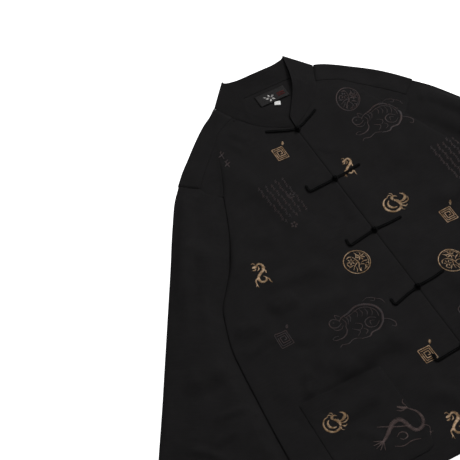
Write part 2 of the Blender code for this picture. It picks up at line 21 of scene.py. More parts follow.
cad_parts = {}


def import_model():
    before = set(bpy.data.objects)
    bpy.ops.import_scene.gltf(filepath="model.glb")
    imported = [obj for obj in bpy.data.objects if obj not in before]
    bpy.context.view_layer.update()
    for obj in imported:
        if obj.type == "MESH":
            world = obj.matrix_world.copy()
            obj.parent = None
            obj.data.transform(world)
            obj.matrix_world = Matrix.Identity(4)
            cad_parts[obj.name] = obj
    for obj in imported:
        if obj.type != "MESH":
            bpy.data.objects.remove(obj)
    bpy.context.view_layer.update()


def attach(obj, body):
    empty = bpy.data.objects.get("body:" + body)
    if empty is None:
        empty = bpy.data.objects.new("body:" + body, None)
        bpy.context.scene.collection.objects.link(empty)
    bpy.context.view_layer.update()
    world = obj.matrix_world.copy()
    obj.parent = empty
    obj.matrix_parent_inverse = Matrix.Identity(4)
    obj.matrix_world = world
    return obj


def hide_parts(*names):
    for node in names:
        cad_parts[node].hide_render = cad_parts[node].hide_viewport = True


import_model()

bl_info = {
    "name": "Tang Jacket Dressing",
    "version": (1, 0, 0),
    "blender": (4, 5, 0),
    "location": "3D View > Sidebar > Jacket",
    "description": "Cloth, cords, sewing and embroidery of a tang jacket laid flat",
    "category": "Object",
}

SIDES = {-1: "right", 1: "left"}  # the wearer's

# ---- cut and layers
CLOTH = 1.3  # wall of a laid layer, as the solids have it
GAP = 0.35  # air between layers and at seams
PITCH = CLOTH + GAP
LAYER = [CLOTH / 2 + 0.02 + PITCH * k for k in range(4)]  # middle heights of stacked layers
HEM_CF = -545.0  # y of the hem at the centre front
HEM_SIDE = -538.0  # and at the side
COLLAR_TOP = 281.5
MIDDLE_Y = (HEM_CF + COLLAR_TOP) / 2
FRONT_SLACK = 1.5  # a front lies this much higher than a laid layer
SLEEVE_LENGTH = 610.0
SLEEVE_ANGLE = math.radians(31.4)
BACK_NECK = 240.0
BACK_NECK_HALF = 104.2
NECK_LAP = 1.2  # the collar's back edge laps this far over the back
SEAM_HALF = 0.05
NECK_CORNER = 7  # row of NECKLINE where the shoulder seam starts
ARMHOLE_CORNER = 3  # row of ARMHOLE where the shoulder seam ends
BACK_INSET = 2.8  # back's edge from the front's
DRAG_STEP = 2.6  # plan width of the step at the drag fold

# Shoulder fold: x, y on the wearer's right, y on the left.
SHOULDER_FOLD = (
    (105.5, 243, 244), (120, 230.5, 237.5), (140, 216.5, 223), (160, 200.5, 207),
    (180, 183, 191), (200, 164.5, 173.5), (222, 144.5, 150), (243, 122, 124),
)
# Shoulder seam, set forward of the fold: x, y.
FORWARD_SEAM = (
    (86.5, 206.5), (100, 202), (117, 194), (129, 187), (140.5, 173.5), (156, 158),
    (179, 136), (196, 118.5), (207, 106.5), (213.5, 98),
)
# Neckline seam, from the centre front round to the shoulder fold: x, y.
NECKLINE = (
    (0, 133), (9, 138), (27, 148), (44, 159), (58, 170), (70, 183),
    (80, 195), (86.5, 206.5), (93, 220), (99, 232), (103.5, 241.5),
)
# Armhole seam that shows, from the shoulder fold down: x, y.
ARMHOLE = (
    (243, 122), (233, 112), (222, 104.5), (213.5, 98), (210, 86.5), (204, 78.5),
    (196.5, 70.5), (187, 63),
)
# Body's edge over the sleeve, then the side seam: x, y.
BODY_EDGE = (
    (187, 63), (197, 37), (217, -10), (236, -45), (252, -72), (276, -103),
    (299, -132), (312, -164), (324.5, -203), (331, -243), (337.5, -308),
    (343, -366), (347, -423), (350, -480), (352, HEM_SIDE),
)
# Drag fold in the front: x, y.
DRAG_FOLD = (
    (140.5, 173.5), (149, 148), (157.5, 128), (166, 107), (177, 83), (187, 63),
)
# Sleeve, in its own frame: distance down it, its outer edge, its inner edge.
SLEEVE = (
    (30, -4.5, 82), (52, -5, 85.2), (76, -4.3, 89.5), (105, -3.5, 105),
    (140, -2.5, 124), (180, -2, 143), (220, -2, 160), (265, -2, 178),
    (315, -2, 194), (370, -2, 205), (430, -2, 208.5), (490, -2.6, 207),
    (550, -3.3, 203.5), (SLEEVE_LENGTH, -4, 200),
)
# Collar's top edge beside each row of NECKLINE: x, y.
COLLAR_EDGE = (
    (1, 146.5), (3, 156.5), (13, 170.5), (24.5, 184.5), (35, 198), (43, 210),
    (49, 222), (53, 232.5), (57, 245), (61, 260),
)
COLLAR_FOLD = (103.5, 243.2, 66.6, COLLAR_TOP + 1.2)  # side fold: foot x, y, then top x, y
# Back of the collar: seam x, then top edge x, y.
COLLAR_BACK = (
    (94, 60, 278.2), (80, 51, 276.4), (60, 38, 274.6), (38, 24, 273.4),
    (18, 11.5, 272.7), (0, 0, 272.5),
)
COLLAR_RISE = (0.9, 1.6)  # how much higher its top edge lies than its seam: back, front
# Patch pocket: centre of its mouth, half width at the mouth and at the foot, depth, corner radius.
POCKET_MOUTH = (212.0, -352.0)
POCKET_HALF = (75.0, 78.0)
POCKET_DEPTH = 163.0
POCKET_CORNER = 20.0
# Fastenings: y of the knot, then of the strips' ends on the wearer's right and left.
FROGS = (
    (127, 152, 152), (1, -1, 7), (-124, -131, -123.5), (-256, -268, -252),
    (-386, -390, -384),
)
TOP_FROG = ((16.0, 6.0), (27.0, 11.2), (38.0, 16.2), (50.0, 22.0))  # x, rise from the knot
FROG_REACH = 53.0
FROG_HOOK = 12.0
HOOK_RADIUS = 3.6
KNOT_RISE = 2.5
LABEL_SIZE = (60.0, 26.0, 0.6)
LABEL_CENTRE = (1.0, 217.0)
LABEL_CURL = 0.3  # its free edge lies this much higher
TAB_SIZE = (11.0, 10.0, 0.5)
TAB_CENTRE = (1.8, 198.5)
TAB_TURN = math.radians(-28.0)
TAB_CURL = 1.2

# Where the layers climb and settle: the distance at which each starts and the run that it takes.
BACK_CLIMB = (16.0, 14.0)
HEAD_CLIMB = (30.0, 40.0)
FRONT_CLIMB = (60.0, 50.0)
ARMHOLE_LEVEL = (15.0, 110.0)
SHOULDER_RUN = 70.0
HEM_RUN = 40.0
EDGE_DROP = 1.5  # a front's edge, below the layer that it ends
EDGE_SETTLE = (12.0, 20.0)  # which it reaches from this far above the armhole's foot, in this run
ROUND_EDGE = 0.83  # radius of a folded layer, half its PITCH
ROUND_REACH = 0.9  # and how much of the plan that rounding takes up

# ---- softness of the cloth
WALL = 1.1  # thickness of the dressed cloth
GRID = 7.0  # spacing of a front's or pocket's points
BACK_GRID = 9.0
OUTLINE_STEP = 5.0
# How much higher the fronts lie along their side edge, lower where it is below 0: y, height.
SIDE_LEVEL = (
    (HEM_SIDE, -0.3), (-480, -1.6), (-434, -2.6), (-323, -2.6), (-259, -0.8),
    (-180, 0.5), (-136, 1.6), (-105, 4.4), (-75, 4.6), (-30, 2.6), (15, 0.7),
    (57, 0.5), (99, 0.9), (143, 0.9), (174, 0.4),
)
SIDE_LEVEL_RUN = (58.0, 54.0)  # it starts this far from the edge, and takes this run
ROLL_RUN = 9.0  # the edge rolls down in this width
CENTRE_ROLL = (4.5, 1.9)  # the front edges roll down: width, depth
SEAM_DIP = (2.6, 0.35)  # cloth sinks into a seam: width, depth
ARMHOLE_DIP = (4.2, 1.2)  # and into the armhole seam
# Sleeve's crown above a laid layer: distance down it, height.
SLEEVE_CROWN = (
    (0, 0), (34, 1.2), (90, 6), (150, 9.4), (260, 11), (350, 11), (450, 9.6),
    (560, 6), (SLEEVE_LENGTH, 4),
)
CROWN_RUN = (62.0, 30.0)  # the crown's rounding at the outer fold, and beside the body's edge
SLEEVE_FULL = 3.4  # the sleeve's outer fold lies this much further out than its solid's
SLEEVE_FULL_RUN = 140.0  # which comes in over this length down the sleeve
SHOULDER_FULL = 1.4  # the same at the shoulder fold
SHOULDER_RUN_IN = 40.0  # which comes in over this width from the collar
SLEEVE_LAP = 7.0  # its inner fold runs this far under the body, below the armhole
LAP_IN = (20.0, 24.0)  # down the sleeve the lap comes in from there, in this run
LAP_OUT = (110.0, 90.0)  # and goes again
HEAD_TUCK = ((3.2, 1.0), (1.4, 0.5))  # the sleeve's head under the body: how far, how deep

# Creases: half width on its left, half width on its right, height, then plan points along it.
FRONT_CREASES = {-1: (
    (20, 30, 5, ((230, -130), (190, -136), (146, -140), (99, -146))),
    (20, 28, 6.4, ((240, -182), (212, -178), (180, -177))),
    (24, 20, 4.6, ((312, -180), (286, -188), (258, -192))),
    (30, 30, 3.6, ((188, -215), (142, -210), (103, -210))),
    (12, 16, 3.7, ((330, -222), (300, -229), (262, -222), (240, -210))),
    (15, 17, -3.7, ((290, -236), (256, -252), (222, -262), (206, -250))),
    (13, 14, 4.6, ((236, -298), (248, -316), (258, -334), (268, -349))),
    (34, 44, 9.4, ((222, -328), (176, -326), (128, -318), (70, -308))),
    (24, 30, 3, ((206, -332), (182, -333), (158, -330))),
    (20, 14, 3.4, ((176, -238), (190, -270), (214, -300), (220, -330))),
    (9, 10, 2.3, ((10, 44), (17, 24), (30, 8), (44, -2))),
    (10, 12, 2, ((4, -42), (8, -66), (22, -88))),
    (30, 34, 3.7, ((150, 96), (124, 40), (110, -30), (112, -96))),
    (20, 24, -2, ((214, -30), (196, -62), (162, -80))),
    (8, 9, 2.4, ((134, 176), (118, 152), (108, 122))),
    (7, 8, 2, ((116, 188), (98, 166), (84, 140))),
    (26, 30, 4.4, ((60, -238), (84, -300), (72, -372))),
    (22, 26, 4.1, ((92, -424), (60, -470), (66, -522))),
    (14, 16, 3.5, ((322, -440), (306, -486), (314, -528))),
), 1: (
    (20, 28, 4.6, ((244, -112), (204, -124), (160, -130), (112, -128))),
    (20, 24, 5.8, ((292, -146), (246, -156), (200, -172))),
    (24, 26, 5, ((308, -184), (262, -200), (216, -222))),
    (26, 34, 2.8, ((298, -108), (276, -128), (262, -152))),
    (12, 12, 3.2, ((328, -238), (296, -244), (262, -262))),
    (16, 14, 3.2, ((336, -300), (332, -340), (338, -392))),
    (10, 14, 4.4, ((196, -280), (206, -310), (200, -344))),
    (32, 40, 6.8, ((252, -326), (206, -322), (152, -326), (104, -318))),
    (9, 10, 2, ((8, 86), (20, 66), (38, 54))),
    (28, 32, 3, ((146, 80), (132, 20), (124, -50))),
    (9, 9, 2, ((128, 180), (112, 150), (104, 118))),
    (28, 30, 3.7, ((78, -196), (66, -262), (86, -330))),
    (24, 24, 3, ((70, -420), (90, -468), (82, -518))),
    (14, 16, 2.9, ((318, -448), (310, -490), (320, -530))),
)}
SLEEVE_CREASES = {-1: (
    (42, 22, 7, ((226, 116), (240, 94), (276, 42), (310, -20), (347, -91), (386, -157))),
    (30, 40, 5.8, ((432, -230), (402, -238), (370, -238), (340, -226))),
    (9, 11, 3, ((424, -316), (400, -311), (372, -314), (352, -320))),
    (10, 13, 2.4, ((446, -350), (418, -344), (388, -344))),
    (22, 26, 2.9, ((300, 6), (284, -14), (290, -44))),
    (10, 12, 3.2, ((480, -330), (452, -352), (430, -386))),
    (12, 16, 3.7, ((520, -392), (486, -408), (448, -418))),
    (7, 9, 2.3, ((246, 104), (232, 92), (222, 76))),
), 1: (
    (40, 22, 6.2, ((230, 108), (258, 62), (290, 6), (334, -66), (370, -132))),
    (28, 38, 6, ((424, -214), (392, -222), (352, -224), (326, -214))),
    (10, 12, 3.2, ((440, -288), (410, -280), (376, -286))),
    (12, 15, 2.6, ((470, -352), (440, -346), (408, -354))),
    (12, 14, 3.5, ((512, -410), (484, -398), (456, -404))),
    (8, 9, 2.3, ((248, 100), (236, 84), (228, 66))),
)}
POCKET_CREASES = {-1: (
    (19, 28, 4.4, ((258, -399), (222, -401), (180, -396), (148, -399))),
    (8, 9, 3, ((280, -366), (272, -384), (262, -402))),
    (10, 12, 2.9, ((284, -384), (282, -412), (274, -446))),
    (14, 16, 2.4, ((240, -426), (212, -452), (204, -488))),
), 1: (
    (17, 24, 4.2, ((272, -392), (214, -390), (160, -396), (144, -396))),
    (9, 10, 2.9, ((150, -390), (158, -424), (170, -450))),
    (14, 16, 2.4, ((250, -420), (232, -456), (240, -492))),
)}
BACK_CREASES = (
    (12, 14, 0.8, ((20, 236), (34, 206), (24, 176))),
    (10, 12, 0.7, ((58, 236), (62, 214), (50, 196))),
)
# Gentle unevenness of laid cloth: wave length, direction in degrees, phase, height.
WAVES = (
    (212, 24, 0.6, 1.1), (147, 112, 2.1, 0.9), (96, 63, 4.4, 0.6),
    (71, 158, 1.2, 0.4), (53, 96, 3.3, 0.22), (38, 18, 5.1, 0.12),
)
WAVE_SHIFT = 131.0  # moves the waves from one panel to the next

# Creases and waves die out beside the front edges, beside a seam and toward the hem: their runs.
CALM_RUN = (22.0, 40.0, 60.0)
NECK_RUN = 12.0  # the same at the back's neckline
STRIP_RUN = 12.0  # and at both edges of the strip over the shoulder
PUCKER = (11.0, 5.0, 0.22)  # ripples beside a sewn line: their length, reach and height
SHOULDER_POINTS = 29  # points along a shoulder's fold and strip
STRIP_ROWS = 13  # rows of points across the strip
SEAM_POINTS = 27  # points along a front's shoulder seam
SLEEVE_POINTS = 62  # points across a sleeve
EDGE_STEPS = (0.35, 0.9, 1.8, 3.0, 4.5, 6.2)  # lines of points inside every cut edge
FOLD_STEPS = (DRAG_STEP, 1.3, 0.0, -0.6, -1.5, -3.0, -5.0)  # and beside the drag fold

HEM_STITCH = 20.0  # top stitching, up from the hem
CUFF_STITCH = 22.0
MOUTH_STITCH = 22.0  # and down from a pocket's mouth
POCKET_STITCH = 2.4  # and in from its sewn edges
STITCH_SINK = (1.2, 0.3)  # the groove along it: half width, depth
POCKET_DIP = (5.0, 1.35)  # a pocket's edge sinks to its front: width, depth
POCKET_LOOSE = (4.0, 24.0)  # it lies loose from this far inside its sewing, after this run
POCKET_SLACK = 0.4  # and this much higher there
MOUTH_RISE = 1.8  # a pocket's mouth stands this much off the front
MOUTH_RUN = 14.0  # which comes in over this width toward the mouth
MOUTH_GROOVE = (2.5, 7.0, 2.2)  # the front sinks beyond it: how far out, half width, depth
GROOVE_ENDS = (2.0, 18.0)  # it starts this far past the pocket's sides, and takes this run
GROOVE_LINES = (-5.0, -2.0, 0.0, 2.0, 4.0, 6.2, 9.0, 12.5)  # and its own lines of points

CORD_RADIUS = 1.35
CORD_LANE = 1.3  # from a doubled cord's middle to each of its lanes
CORD_STEP = 2.0
CORD_SIDES = 10
CORD_CLEAR = 0.05  # air beneath a cord
CENTRE_CLEAR = 4.0  # a cord over the front edges takes the cloth's height this far out
KNOT_RING = 4.8  # radius of the loop round a knot
KNOT_BALL = 3.1  # radius of the knot's own windings
KNOT_FLAT = 0.78  # its height as a share of its width
KNOT_CORD = 1.25  # radius of its cord
KNOT_TURNS = 3  # times that its cord goes round the ball
KNOT_SWINGS = 4  # times that it swings up and down on the way
KNOT_SWING = 0.98  # how far, in radians
KNOT_PASS = 0.42  # how far it moves out and in where it crosses itself

TAG_GRID = (25, 13)  # points along a woven tag, and across it
STROKE_STEP = 1.2  # distance between the points of an embroidered stroke
STITCH_LIFT = 0.12  # height of a stitch's middle above the cloth
STITCH_JITTER = 0.1  # how far its slant wanders, in radians
STITCH_SEED = 7
TOP_STITCH = (1.15, 0.00055)  # half length of a top stitch, and its thickness in metres
LABEL_YARN = 0.0006  # pitch and thickness of the label's threads, in metres

COLLAR_WALL = 1.7
COLLAR_BULGE = 0.7  # it rises this much between its seam and its top edge
COLLAR_STAND = (1.2, 5.0, 9.0)  # its top edge stands up: front ends, side folds, centre back
COLLAR_RUN = (150.0, 64.0)  # and how slowly: from the front ends, over the back
COLLAR_BACK_HALF = 72.0  # half of the back's width over which it does
COLLAR_CURVE = 1.4  # how late across the band it does
COLLAR_LIFT = 0.3  # the whole band, above the layer that it lies on
COLLAR_RIM = 0.5  # rounding of its edges
COLLAR_FULL = 0.07  # the band is this share wider than its solid's, past its ends
COLLAR_FULL_RUN = 90.0  # which comes in over this length from the front ends
COLLAR_LOOSE = (2.0, 26.0)  # it creases from this far past its ends, after this run
COLLAR_DIP = (4.5, 0.6)  # it sinks into its seam: width, depth
COLLAR_CREASES = {-1: (
    (2.6, 3.4, 0.8, ((82, 218), (77, 197), (64, 176), (53, 162))),
    (2.4, 3, 0.7, ((63, 221), (56, 198), (42, 179))),
    (2.2, 2.8, 0.6, ((86, 196), (80, 180), (71, 166))),
    (3, 4, 0.9, ((50, 240), (57, 214), (62, 190), (60, 174))),
    (3, 3.6, 0.6, ((90, 236), (78, 244), (66, 250))),
    (2.6, 3.2, 0.5, ((38, 166), (28, 162), (18, 156))),
), 1: (
    (2.6, 3.4, 0.8, ((84, 222), (74, 200), (60, 178))),
    (2.4, 3, 0.6, ((66, 230), (60, 206), (48, 188))),
    (3, 4, 0.8, ((54, 236), (64, 212), (72, 196))),
    (2.4, 3.2, 0.6, ((44, 180), (34, 168), (22, 158))),
    (3, 3.6, 0.6, ((94, 240), (80, 248), (68, 252))),
)}

# Cut of each sheet as it lies flat: width, length, area, in metres.
COLLAR_CUT = (0.50, 0.040, 0.0168)

# ---- plan geometry


def rise_over(reach, run):
    """0 before a climb, 1 past its run, and a soft curve between."""
    t = np.clip(np.asarray(reach, float) / run, 0.0, 1.0)
    return t * t * (3.0 - 2.0 * t)


def world(points, heights):
    """Plan points and heights in millimetres, as world points in metres."""
    return np.column_stack((points[:, 0], points[:, 1] - MIDDLE_Y, heights)) * 0.001


def along(points, step):
    """Resamples a polyline through a rounded curve that passes its own points."""
    points = np.asarray(points, float)
    result = [points[0]]
    for i in range(len(points) - 1):
        before, start = points[max(i - 1, 0)], points[i]
        end, after = points[i + 1], points[min(i + 2, len(points) - 1)]
        pieces = max(1, round(float(np.hypot(*(end - start)[:2])) / step))
        for k in range(1, pieces + 1):
            t = k / pieces
            result.append(0.5 * (2 * start + (end - before) * t
                                 + (2 * before - 5 * start + 4 * end - after) * t ** 2
                                 + (3 * start - before - 3 * end + after) * t ** 3))
    return np.array(result)


def spokes(angle):
    """Unit vectors at a column of angles."""
    return np.hstack((np.cos(angle), np.sin(angle)))


def directions(turn, rise):
    """Unit vectors at a turn round the vertical and a rise above the level."""
    level = np.cos(rise)
    return np.stack(np.broadcast_arrays(level * np.cos(turn), level * np.sin(turn), np.sin(rise)), axis=-1)


def rotated(points, angle):
    """Plan points turned about the origin."""
    cos, sin = math.cos(angle), math.sin(angle)
    return points @ np.array(((cos, sin), (-sin, cos)))


def stations(line):
    """Distance along a polyline to each of its points."""
    return np.concatenate(([0.0], np.cumsum(np.hypot(*np.diff(line, axis=0).T))))


def offset(line, amount):
    """Moves a polyline sideways: to its left for a positive amount."""
    line = np.asarray(line, float)
    run = np.vstack((line[1:], line[-1:])) - np.vstack((line[:1], line[:-1]))
    run /= np.hypot(run[:, 0], run[:, 1])[:, None]
    return line + amount * np.column_stack((-run[:, 1], run[:, 0]))


def inset(loop, amount):
    """Moves a closed outline inward, whichever way round it goes."""
    after = np.roll(loop, -1, axis=0) - loop
    after /= np.hypot(after[:, 0], after[:, 1])[:, None]
    before = np.roll(after, 1, axis=0)
    turned = np.column_stack((-(before + after)[:, 1], (before + after)[:, 0]))
    spread = np.maximum((turned ** 2).sum(1), 1.0) / 2.0
    area = (loop[:, 0] * np.roll(loop[:, 1], -1) - loop[:, 1] * np.roll(loop[:, 0], -1)).sum()
    return loop + math.copysign(amount, area) * turned / spread[:, None]


def nearest(points, line):
    """For each plan point: distance to a polyline, share of the way along it, and the side."""
    line = np.asarray(line, float)
    run = np.diff(line, axis=0)
    length = np.hypot(run[:, 0], run[:, 1])
    before = np.concatenate(([0.0], np.cumsum(length)))[:-1]
    gap = points[:, None, :] - line[:-1]
    part = np.clip((gap * run).sum(2) / length ** 2, 0.0, 1.0)
    miss = gap - part[..., None] * run
    away = np.hypot(miss[..., 0], miss[..., 1])
    best = away.argmin(1)
    row = np.arange(len(points))
    share = (before[best] + part[row, best] * length[best]) / length.sum()
    side = np.sign(run[best, 0] * miss[row, best, 1] - run[best, 1] * miss[row, best, 0])
    return away[row, best], share, side


def inside(points, loop):
    """Whether each plan point lies inside a closed outline."""
    x, y = points.T[:, :, None]
    x0, y0 = loop.T
    x1, y1 = np.roll(loop, -1, axis=0).T
    crosses = (y0 > y) != (y1 > y)
    rise = np.where(y1 == y0, 1.0, y1 - y0)
    return ((crosses & (x < (x1 - x0) * (y - y0) / rise + x0)).sum(1) % 2).astype(bool)


def read(table, values, column=1):
    """Straight-line reading of a table whose first column rises."""
    table = np.asarray(table, float)
    return np.interp(values, table[:, 0], table[:, column])


def crossing(spot, run_a, shift_a, run_b, shift_b):
    """Where two lines through a plan point cross once each is moved to its own left."""
    a = run_a / np.hypot(*run_a)
    b = run_b / np.hypot(*run_b)
    return np.asarray(spot) + (shift_a * b - shift_b * a) / (a[0] * b[1] - a[1] * b[0])


def run_at(line, k):
    """Direction of a polyline at one of its points."""
    return np.asarray(line[min(k + 1, len(line) - 1)]) - np.asarray(line[max(k - 1, 0)])


# ---- heights of the laid layers
SLEEVE_RUN = np.array((math.sin(SLEEVE_ANGLE), -math.cos(SLEEVE_ANGLE)))
SLEEVE_IN = np.array((-math.cos(SLEEVE_ANGLE), -math.sin(SLEEVE_ANGLE)))
SLEEVE_START = np.array(ARMHOLE[0])
BODY_LINE = along(BODY_EDGE, 12.0)
DRAG_LINE = along(DRAG_FOLD, 8.0)


def sleeve_frame(points):
    """Distance down the sleeve, and in from its outer edge."""
    arm = points - SLEEVE_START
    return arm @ SLEEVE_RUN, arm @ SLEEVE_IN


def over_sleeve(points):
    """How far a plan point lies out over the sleeve, past the sleeve's inner edge."""
    down, across = sleeve_frame(points)
    return read(SLEEVE, down, 2) - across


def shoulder_line(side):
    """Shoulder fold, from the collar out; its fullness grows from nothing beside the collar."""
    column = 1 if side < 0 else 2
    line = np.array([(row[0], row[column]) for row in SHOULDER_FOLD])
    grown = rise_over(line[:, :1] - line[0, 0], SHOULDER_RUN_IN)
    return line + grown * (offset(line, SHOULDER_FULL) - line)


def back_height(points):
    """The back lies on the table, and climbs over the sleeves."""
    down, _ = sleeve_frame(points)
    climb = rise_over(over_sleeve(points) + BACK_CLIMB[0], BACK_CLIMB[1])
    climb *= rise_over(down - HEAD_CLIMB[0], HEAD_CLIMB[1])
    return LAYER[0] + (LAYER[2] - LAYER[0]) * climb


def top_height(points, side, beyond_fold):
    """The upper layer: the fronts, and the back's strip in front of the shoulder fold."""
    high = LAYER[1] + FRONT_SLACK
    high = high + (LAYER[3] - high) * rise_over(over_sleeve(points) + FRONT_CLIMB[0], FRONT_CLIMB[1])
    rise = rise_over(nearest(points, shoulder_line(side))[0], SHOULDER_RUN)
    height = LAYER[1] + (high - LAYER[1]) * rise
    if beyond_fold:
        down, _ = sleeve_frame(points)
        level = rise_over(ARMHOLE_LEVEL[0] - down, ARMHOLE_LEVEL[1])
        height = LAYER[1] + (height - LAYER[1]) * level
    return height - FRONT_SLACK * (1.0 - rise_over(points[:, 1] - HEM_SIDE, HEM_RUN)) * rise


def crease_height(points, table):
    """Soft ridges, and troughs where the height is below 0, that fade out at their ends."""
    total = np.zeros(len(points))
    for left, right, height, line in table:
        away, share, side = nearest(points, along(line, 9.0))
        width = np.where(side > 0, left, right)
        shape = 0.5 + 0.5 * np.cos(math.pi * np.clip(away / width, 0.0, 1.0))
        total += height * shape * rise_over(share, 0.3) * rise_over(1.0 - share, 0.3)
    return total


def unevenness(points, panel):
    """Sum of long shallow waves, moved on for each panel."""
    points = points + WAVE_SHIFT * panel
    total = np.zeros(len(points))
    for length, angle, phase, height in WAVES:
        turn = math.radians(angle)
        run = points @ np.array((math.cos(turn), math.sin(turn)))
        total += height * np.sin(math.tau * run / length + phase)
    return total


def pucker(points, line):
    """Ripples across a sewn line."""
    line = np.asarray(line, float)
    away, share, _ = nearest(points, line)
    length = np.hypot(*np.diff(line, axis=0).T).sum()
    ripple = np.sin(math.tau * share * length / PUCKER[0]) + np.sin(2.3 * share * length / PUCKER[0])
    return PUCKER[2] * ripple * np.exp(-(away / PUCKER[1]) ** 2)


def dip(away, width, depth):
    """Cloth that curves down to its edge or into a seam, as a quarter of an ellipse."""
    t = 1.0 - np.clip(away / width, 0.0, 1.0)
    return depth * (1.0 - np.sqrt(1.0 - t * t))


# ---- outlines of the cut
HALF_BACK = 352.0


def hem_line(x):
    """The hem's y at a distance from the centre front."""
    return np.interp(np.abs(x), (0.0, HALF_BACK), (HEM_CF, HEM_SIDE))


def hem(start):
    """Hem points from a given distance out back to the centre front, both ends left out."""
    x = np.linspace(start, 0.0, round(start / OUTLINE_STEP))[1:-1]
    return np.column_stack((x, hem_line(x)))


def body_edge(inward):
    """The body's side edge down to the hem, moved inward."""
    line = offset(along(BODY_EDGE, OUTLINE_STEP), -inward)
    line[-1, 1] = hem_line(line[-1, 0])
    return line


def resample(line, count):
    """Points at equal steps along a polyline."""
    run = stations(line)
    steps = np.linspace(0.0, run[-1], count)
    return np.column_stack((np.interp(steps, run, line[:, 0]), np.interp(steps, run, line[:, 1])))


def seam_points(forward, count):
    """Shoulder seam, moved to one piece's own side of it, clear of the neckline and the armhole."""
    line = resample(along(FORWARD_SEAM, OUTLINE_STEP), count)
    shift = -SEAM_HALF if forward else SEAM_HALF
    points = offset(line, shift)
    points[0] = crossing(NECKLINE[NECK_CORNER], run_at(line, 0), shift,
                         run_at(NECKLINE, NECK_CORNER), -SEAM_HALF)
    points[-1] = crossing(ARMHOLE[ARMHOLE_CORNER], run_at(line, count - 1), shift,
                          run_at(ARMHOLE, ARMHOLE_CORNER), -SEAM_HALF)
    return points


def front_outline():
    """Outline of a front, from the centre of its neckline round by the armhole and the hem."""
    neckline = offset(along(NECKLINE[:NECK_CORNER + 1], OUTLINE_STEP), -SEAM_HALF)[:-1]
    neckline[0] = (GAP / 2, NECKLINE[0][1] - SEAM_HALF)
    armhole = offset(along(ARMHOLE[ARMHOLE_CORNER:], OUTLINE_STEP), -SEAM_HALF)[1:-1]
    edge = body_edge(0.0)
    y = np.arange(HEM_CF, NECKLINE[0][1] - OUTLINE_STEP, OUTLINE_STEP)
    centre = np.column_stack((np.full(len(y), GAP / 2), y))
    return np.vstack((neckline, seam_points(True, SEAM_POINTS), armhole, edge, hem(edge[-1, 0]), centre))


def pocket_outline():
    """Outline of the pocket, anticlockwise from its mouth, with rounded lower corners."""
    x, y = POCKET_MOUTH
    top, foot = POCKET_HALF
    low = y - POCKET_DEPTH
    corners = []
    for sign, first in ((-1, 180.0), (1, 270.0)):
        centre = (x + sign * (foot - POCKET_CORNER), low + POCKET_CORNER)
        angle = np.radians(first + np.linspace(0.0, 90.0, 7))[:, None]
        corners += list(centre + POCKET_CORNER * spokes(angle))
    points = [(x + top, y), (x - top, y), *corners, (x + top, y)]
    loop = [points[0]]
    for a, b in zip(points, points[1:]):
        pieces = max(1, round(math.dist(a, b) / OUTLINE_STEP))
        loop += [(a[0] + (b[0] - a[0]) * k / pieces, a[1] + (b[1] - a[1]) * k / pieces)
                 for k in range(1, pieces + 1)]
    return np.array(loop[:-1])


POCKET_LOOP = pocket_outline()
MOUTH_POINTS = round(2 * POCKET_HALF[0] / OUTLINE_STEP)


# ---- surfaces of the pieces
LEAST_PITCH = WALL + 0.15  # least distance from the middle of one layer to the next
SIDE_LINE = np.vstack((DRAG_LINE[:-1], BODY_LINE))
FOLD_END = DRAG_FOLD[-1][1]  # where the drag fold turns into the body's own edge


def past_drag_fold(points):
    """Distance out past the drag fold, below 0 on its inner side, and 0 beside the body's edge."""
    away, _, side = nearest(points, DRAG_LINE)
    return np.where(points[:, 1] < FOLD_END, 0.0, away * side)


def front_height(points, side, groove=1.0):
    """Middle of a front's wall, with its folded edges, creases and sewn lines.

    It sinks along the pocket's mouth; the pocket itself is worked out with a groove of 0.
    """
    x, y = points.T
    laid = top_height(points, side, False)
    past = top_height(points, side, True)
    edge = nearest(points, SIDE_LINE)[0]
    seams = np.minimum(nearest(points, NECKLINE)[0], nearest(points, FORWARD_SEAM)[0])
    centre_run, seam_run, hem_run = CALM_RUN
    calm = rise_over(x, centre_run) * rise_over(seams, seam_run)
    calm *= 0.4 + 0.6 * rise_over(y - HEM_SIDE, hem_run)
    waves = unevenness(points, 0.5 * side)
    soft = calm * (crease_height(points, FRONT_CREASES[side]) + waves)
    soft += read(SIDE_LEVEL, y) * rise_over(SIDE_LEVEL_RUN[0] - edge, SIDE_LEVEL_RUN[1])
    high = np.maximum(laid + soft, back_height(points) + LEAST_PITCH)
    foot = past + (laid - EDGE_DROP - past) * rise_over(FOLD_END + EDGE_SETTLE[0] - y, EDGE_SETTLE[1])
    high = foot + (high - foot) * np.sqrt(1.0 - (1.0 - np.clip(edge / ROLL_RUN, 0.0, 1.0)) ** 2)
    step = np.clip(past_drag_fold(points) / DRAG_STEP, 0.0, 1.0)
    height = high + (past + 0.4 * calm * waves - high) * step
    height += pucker(points, FORWARD_SEAM) + pucker(points, NECKLINE)
    height -= dip(seams, *SEAM_DIP) + dip(nearest(points, ARMHOLE)[0], *ARMHOLE_DIP)
    height -= dip(x - GAP / 2, *CENTRE_ROLL) + dip(y - hem_line(x), *SEAM_DIP)
    height -= sunk(np.abs(y - hem_line(x) - HEM_STITCH))
    reach = POCKET_HALF[0] - np.abs(x - POCKET_MOUTH[0])
    beyond, width, depth = MOUTH_GROOVE
    across = (y - POCKET_MOUTH[1] - beyond) / width
    ends = rise_over(reach + GROOVE_ENDS[0], GROOVE_ENDS[1])
    height -= groove * depth * np.exp(-across ** 2) * ends
    return np.maximum(height, LAYER[0] + LEAST_PITCH)


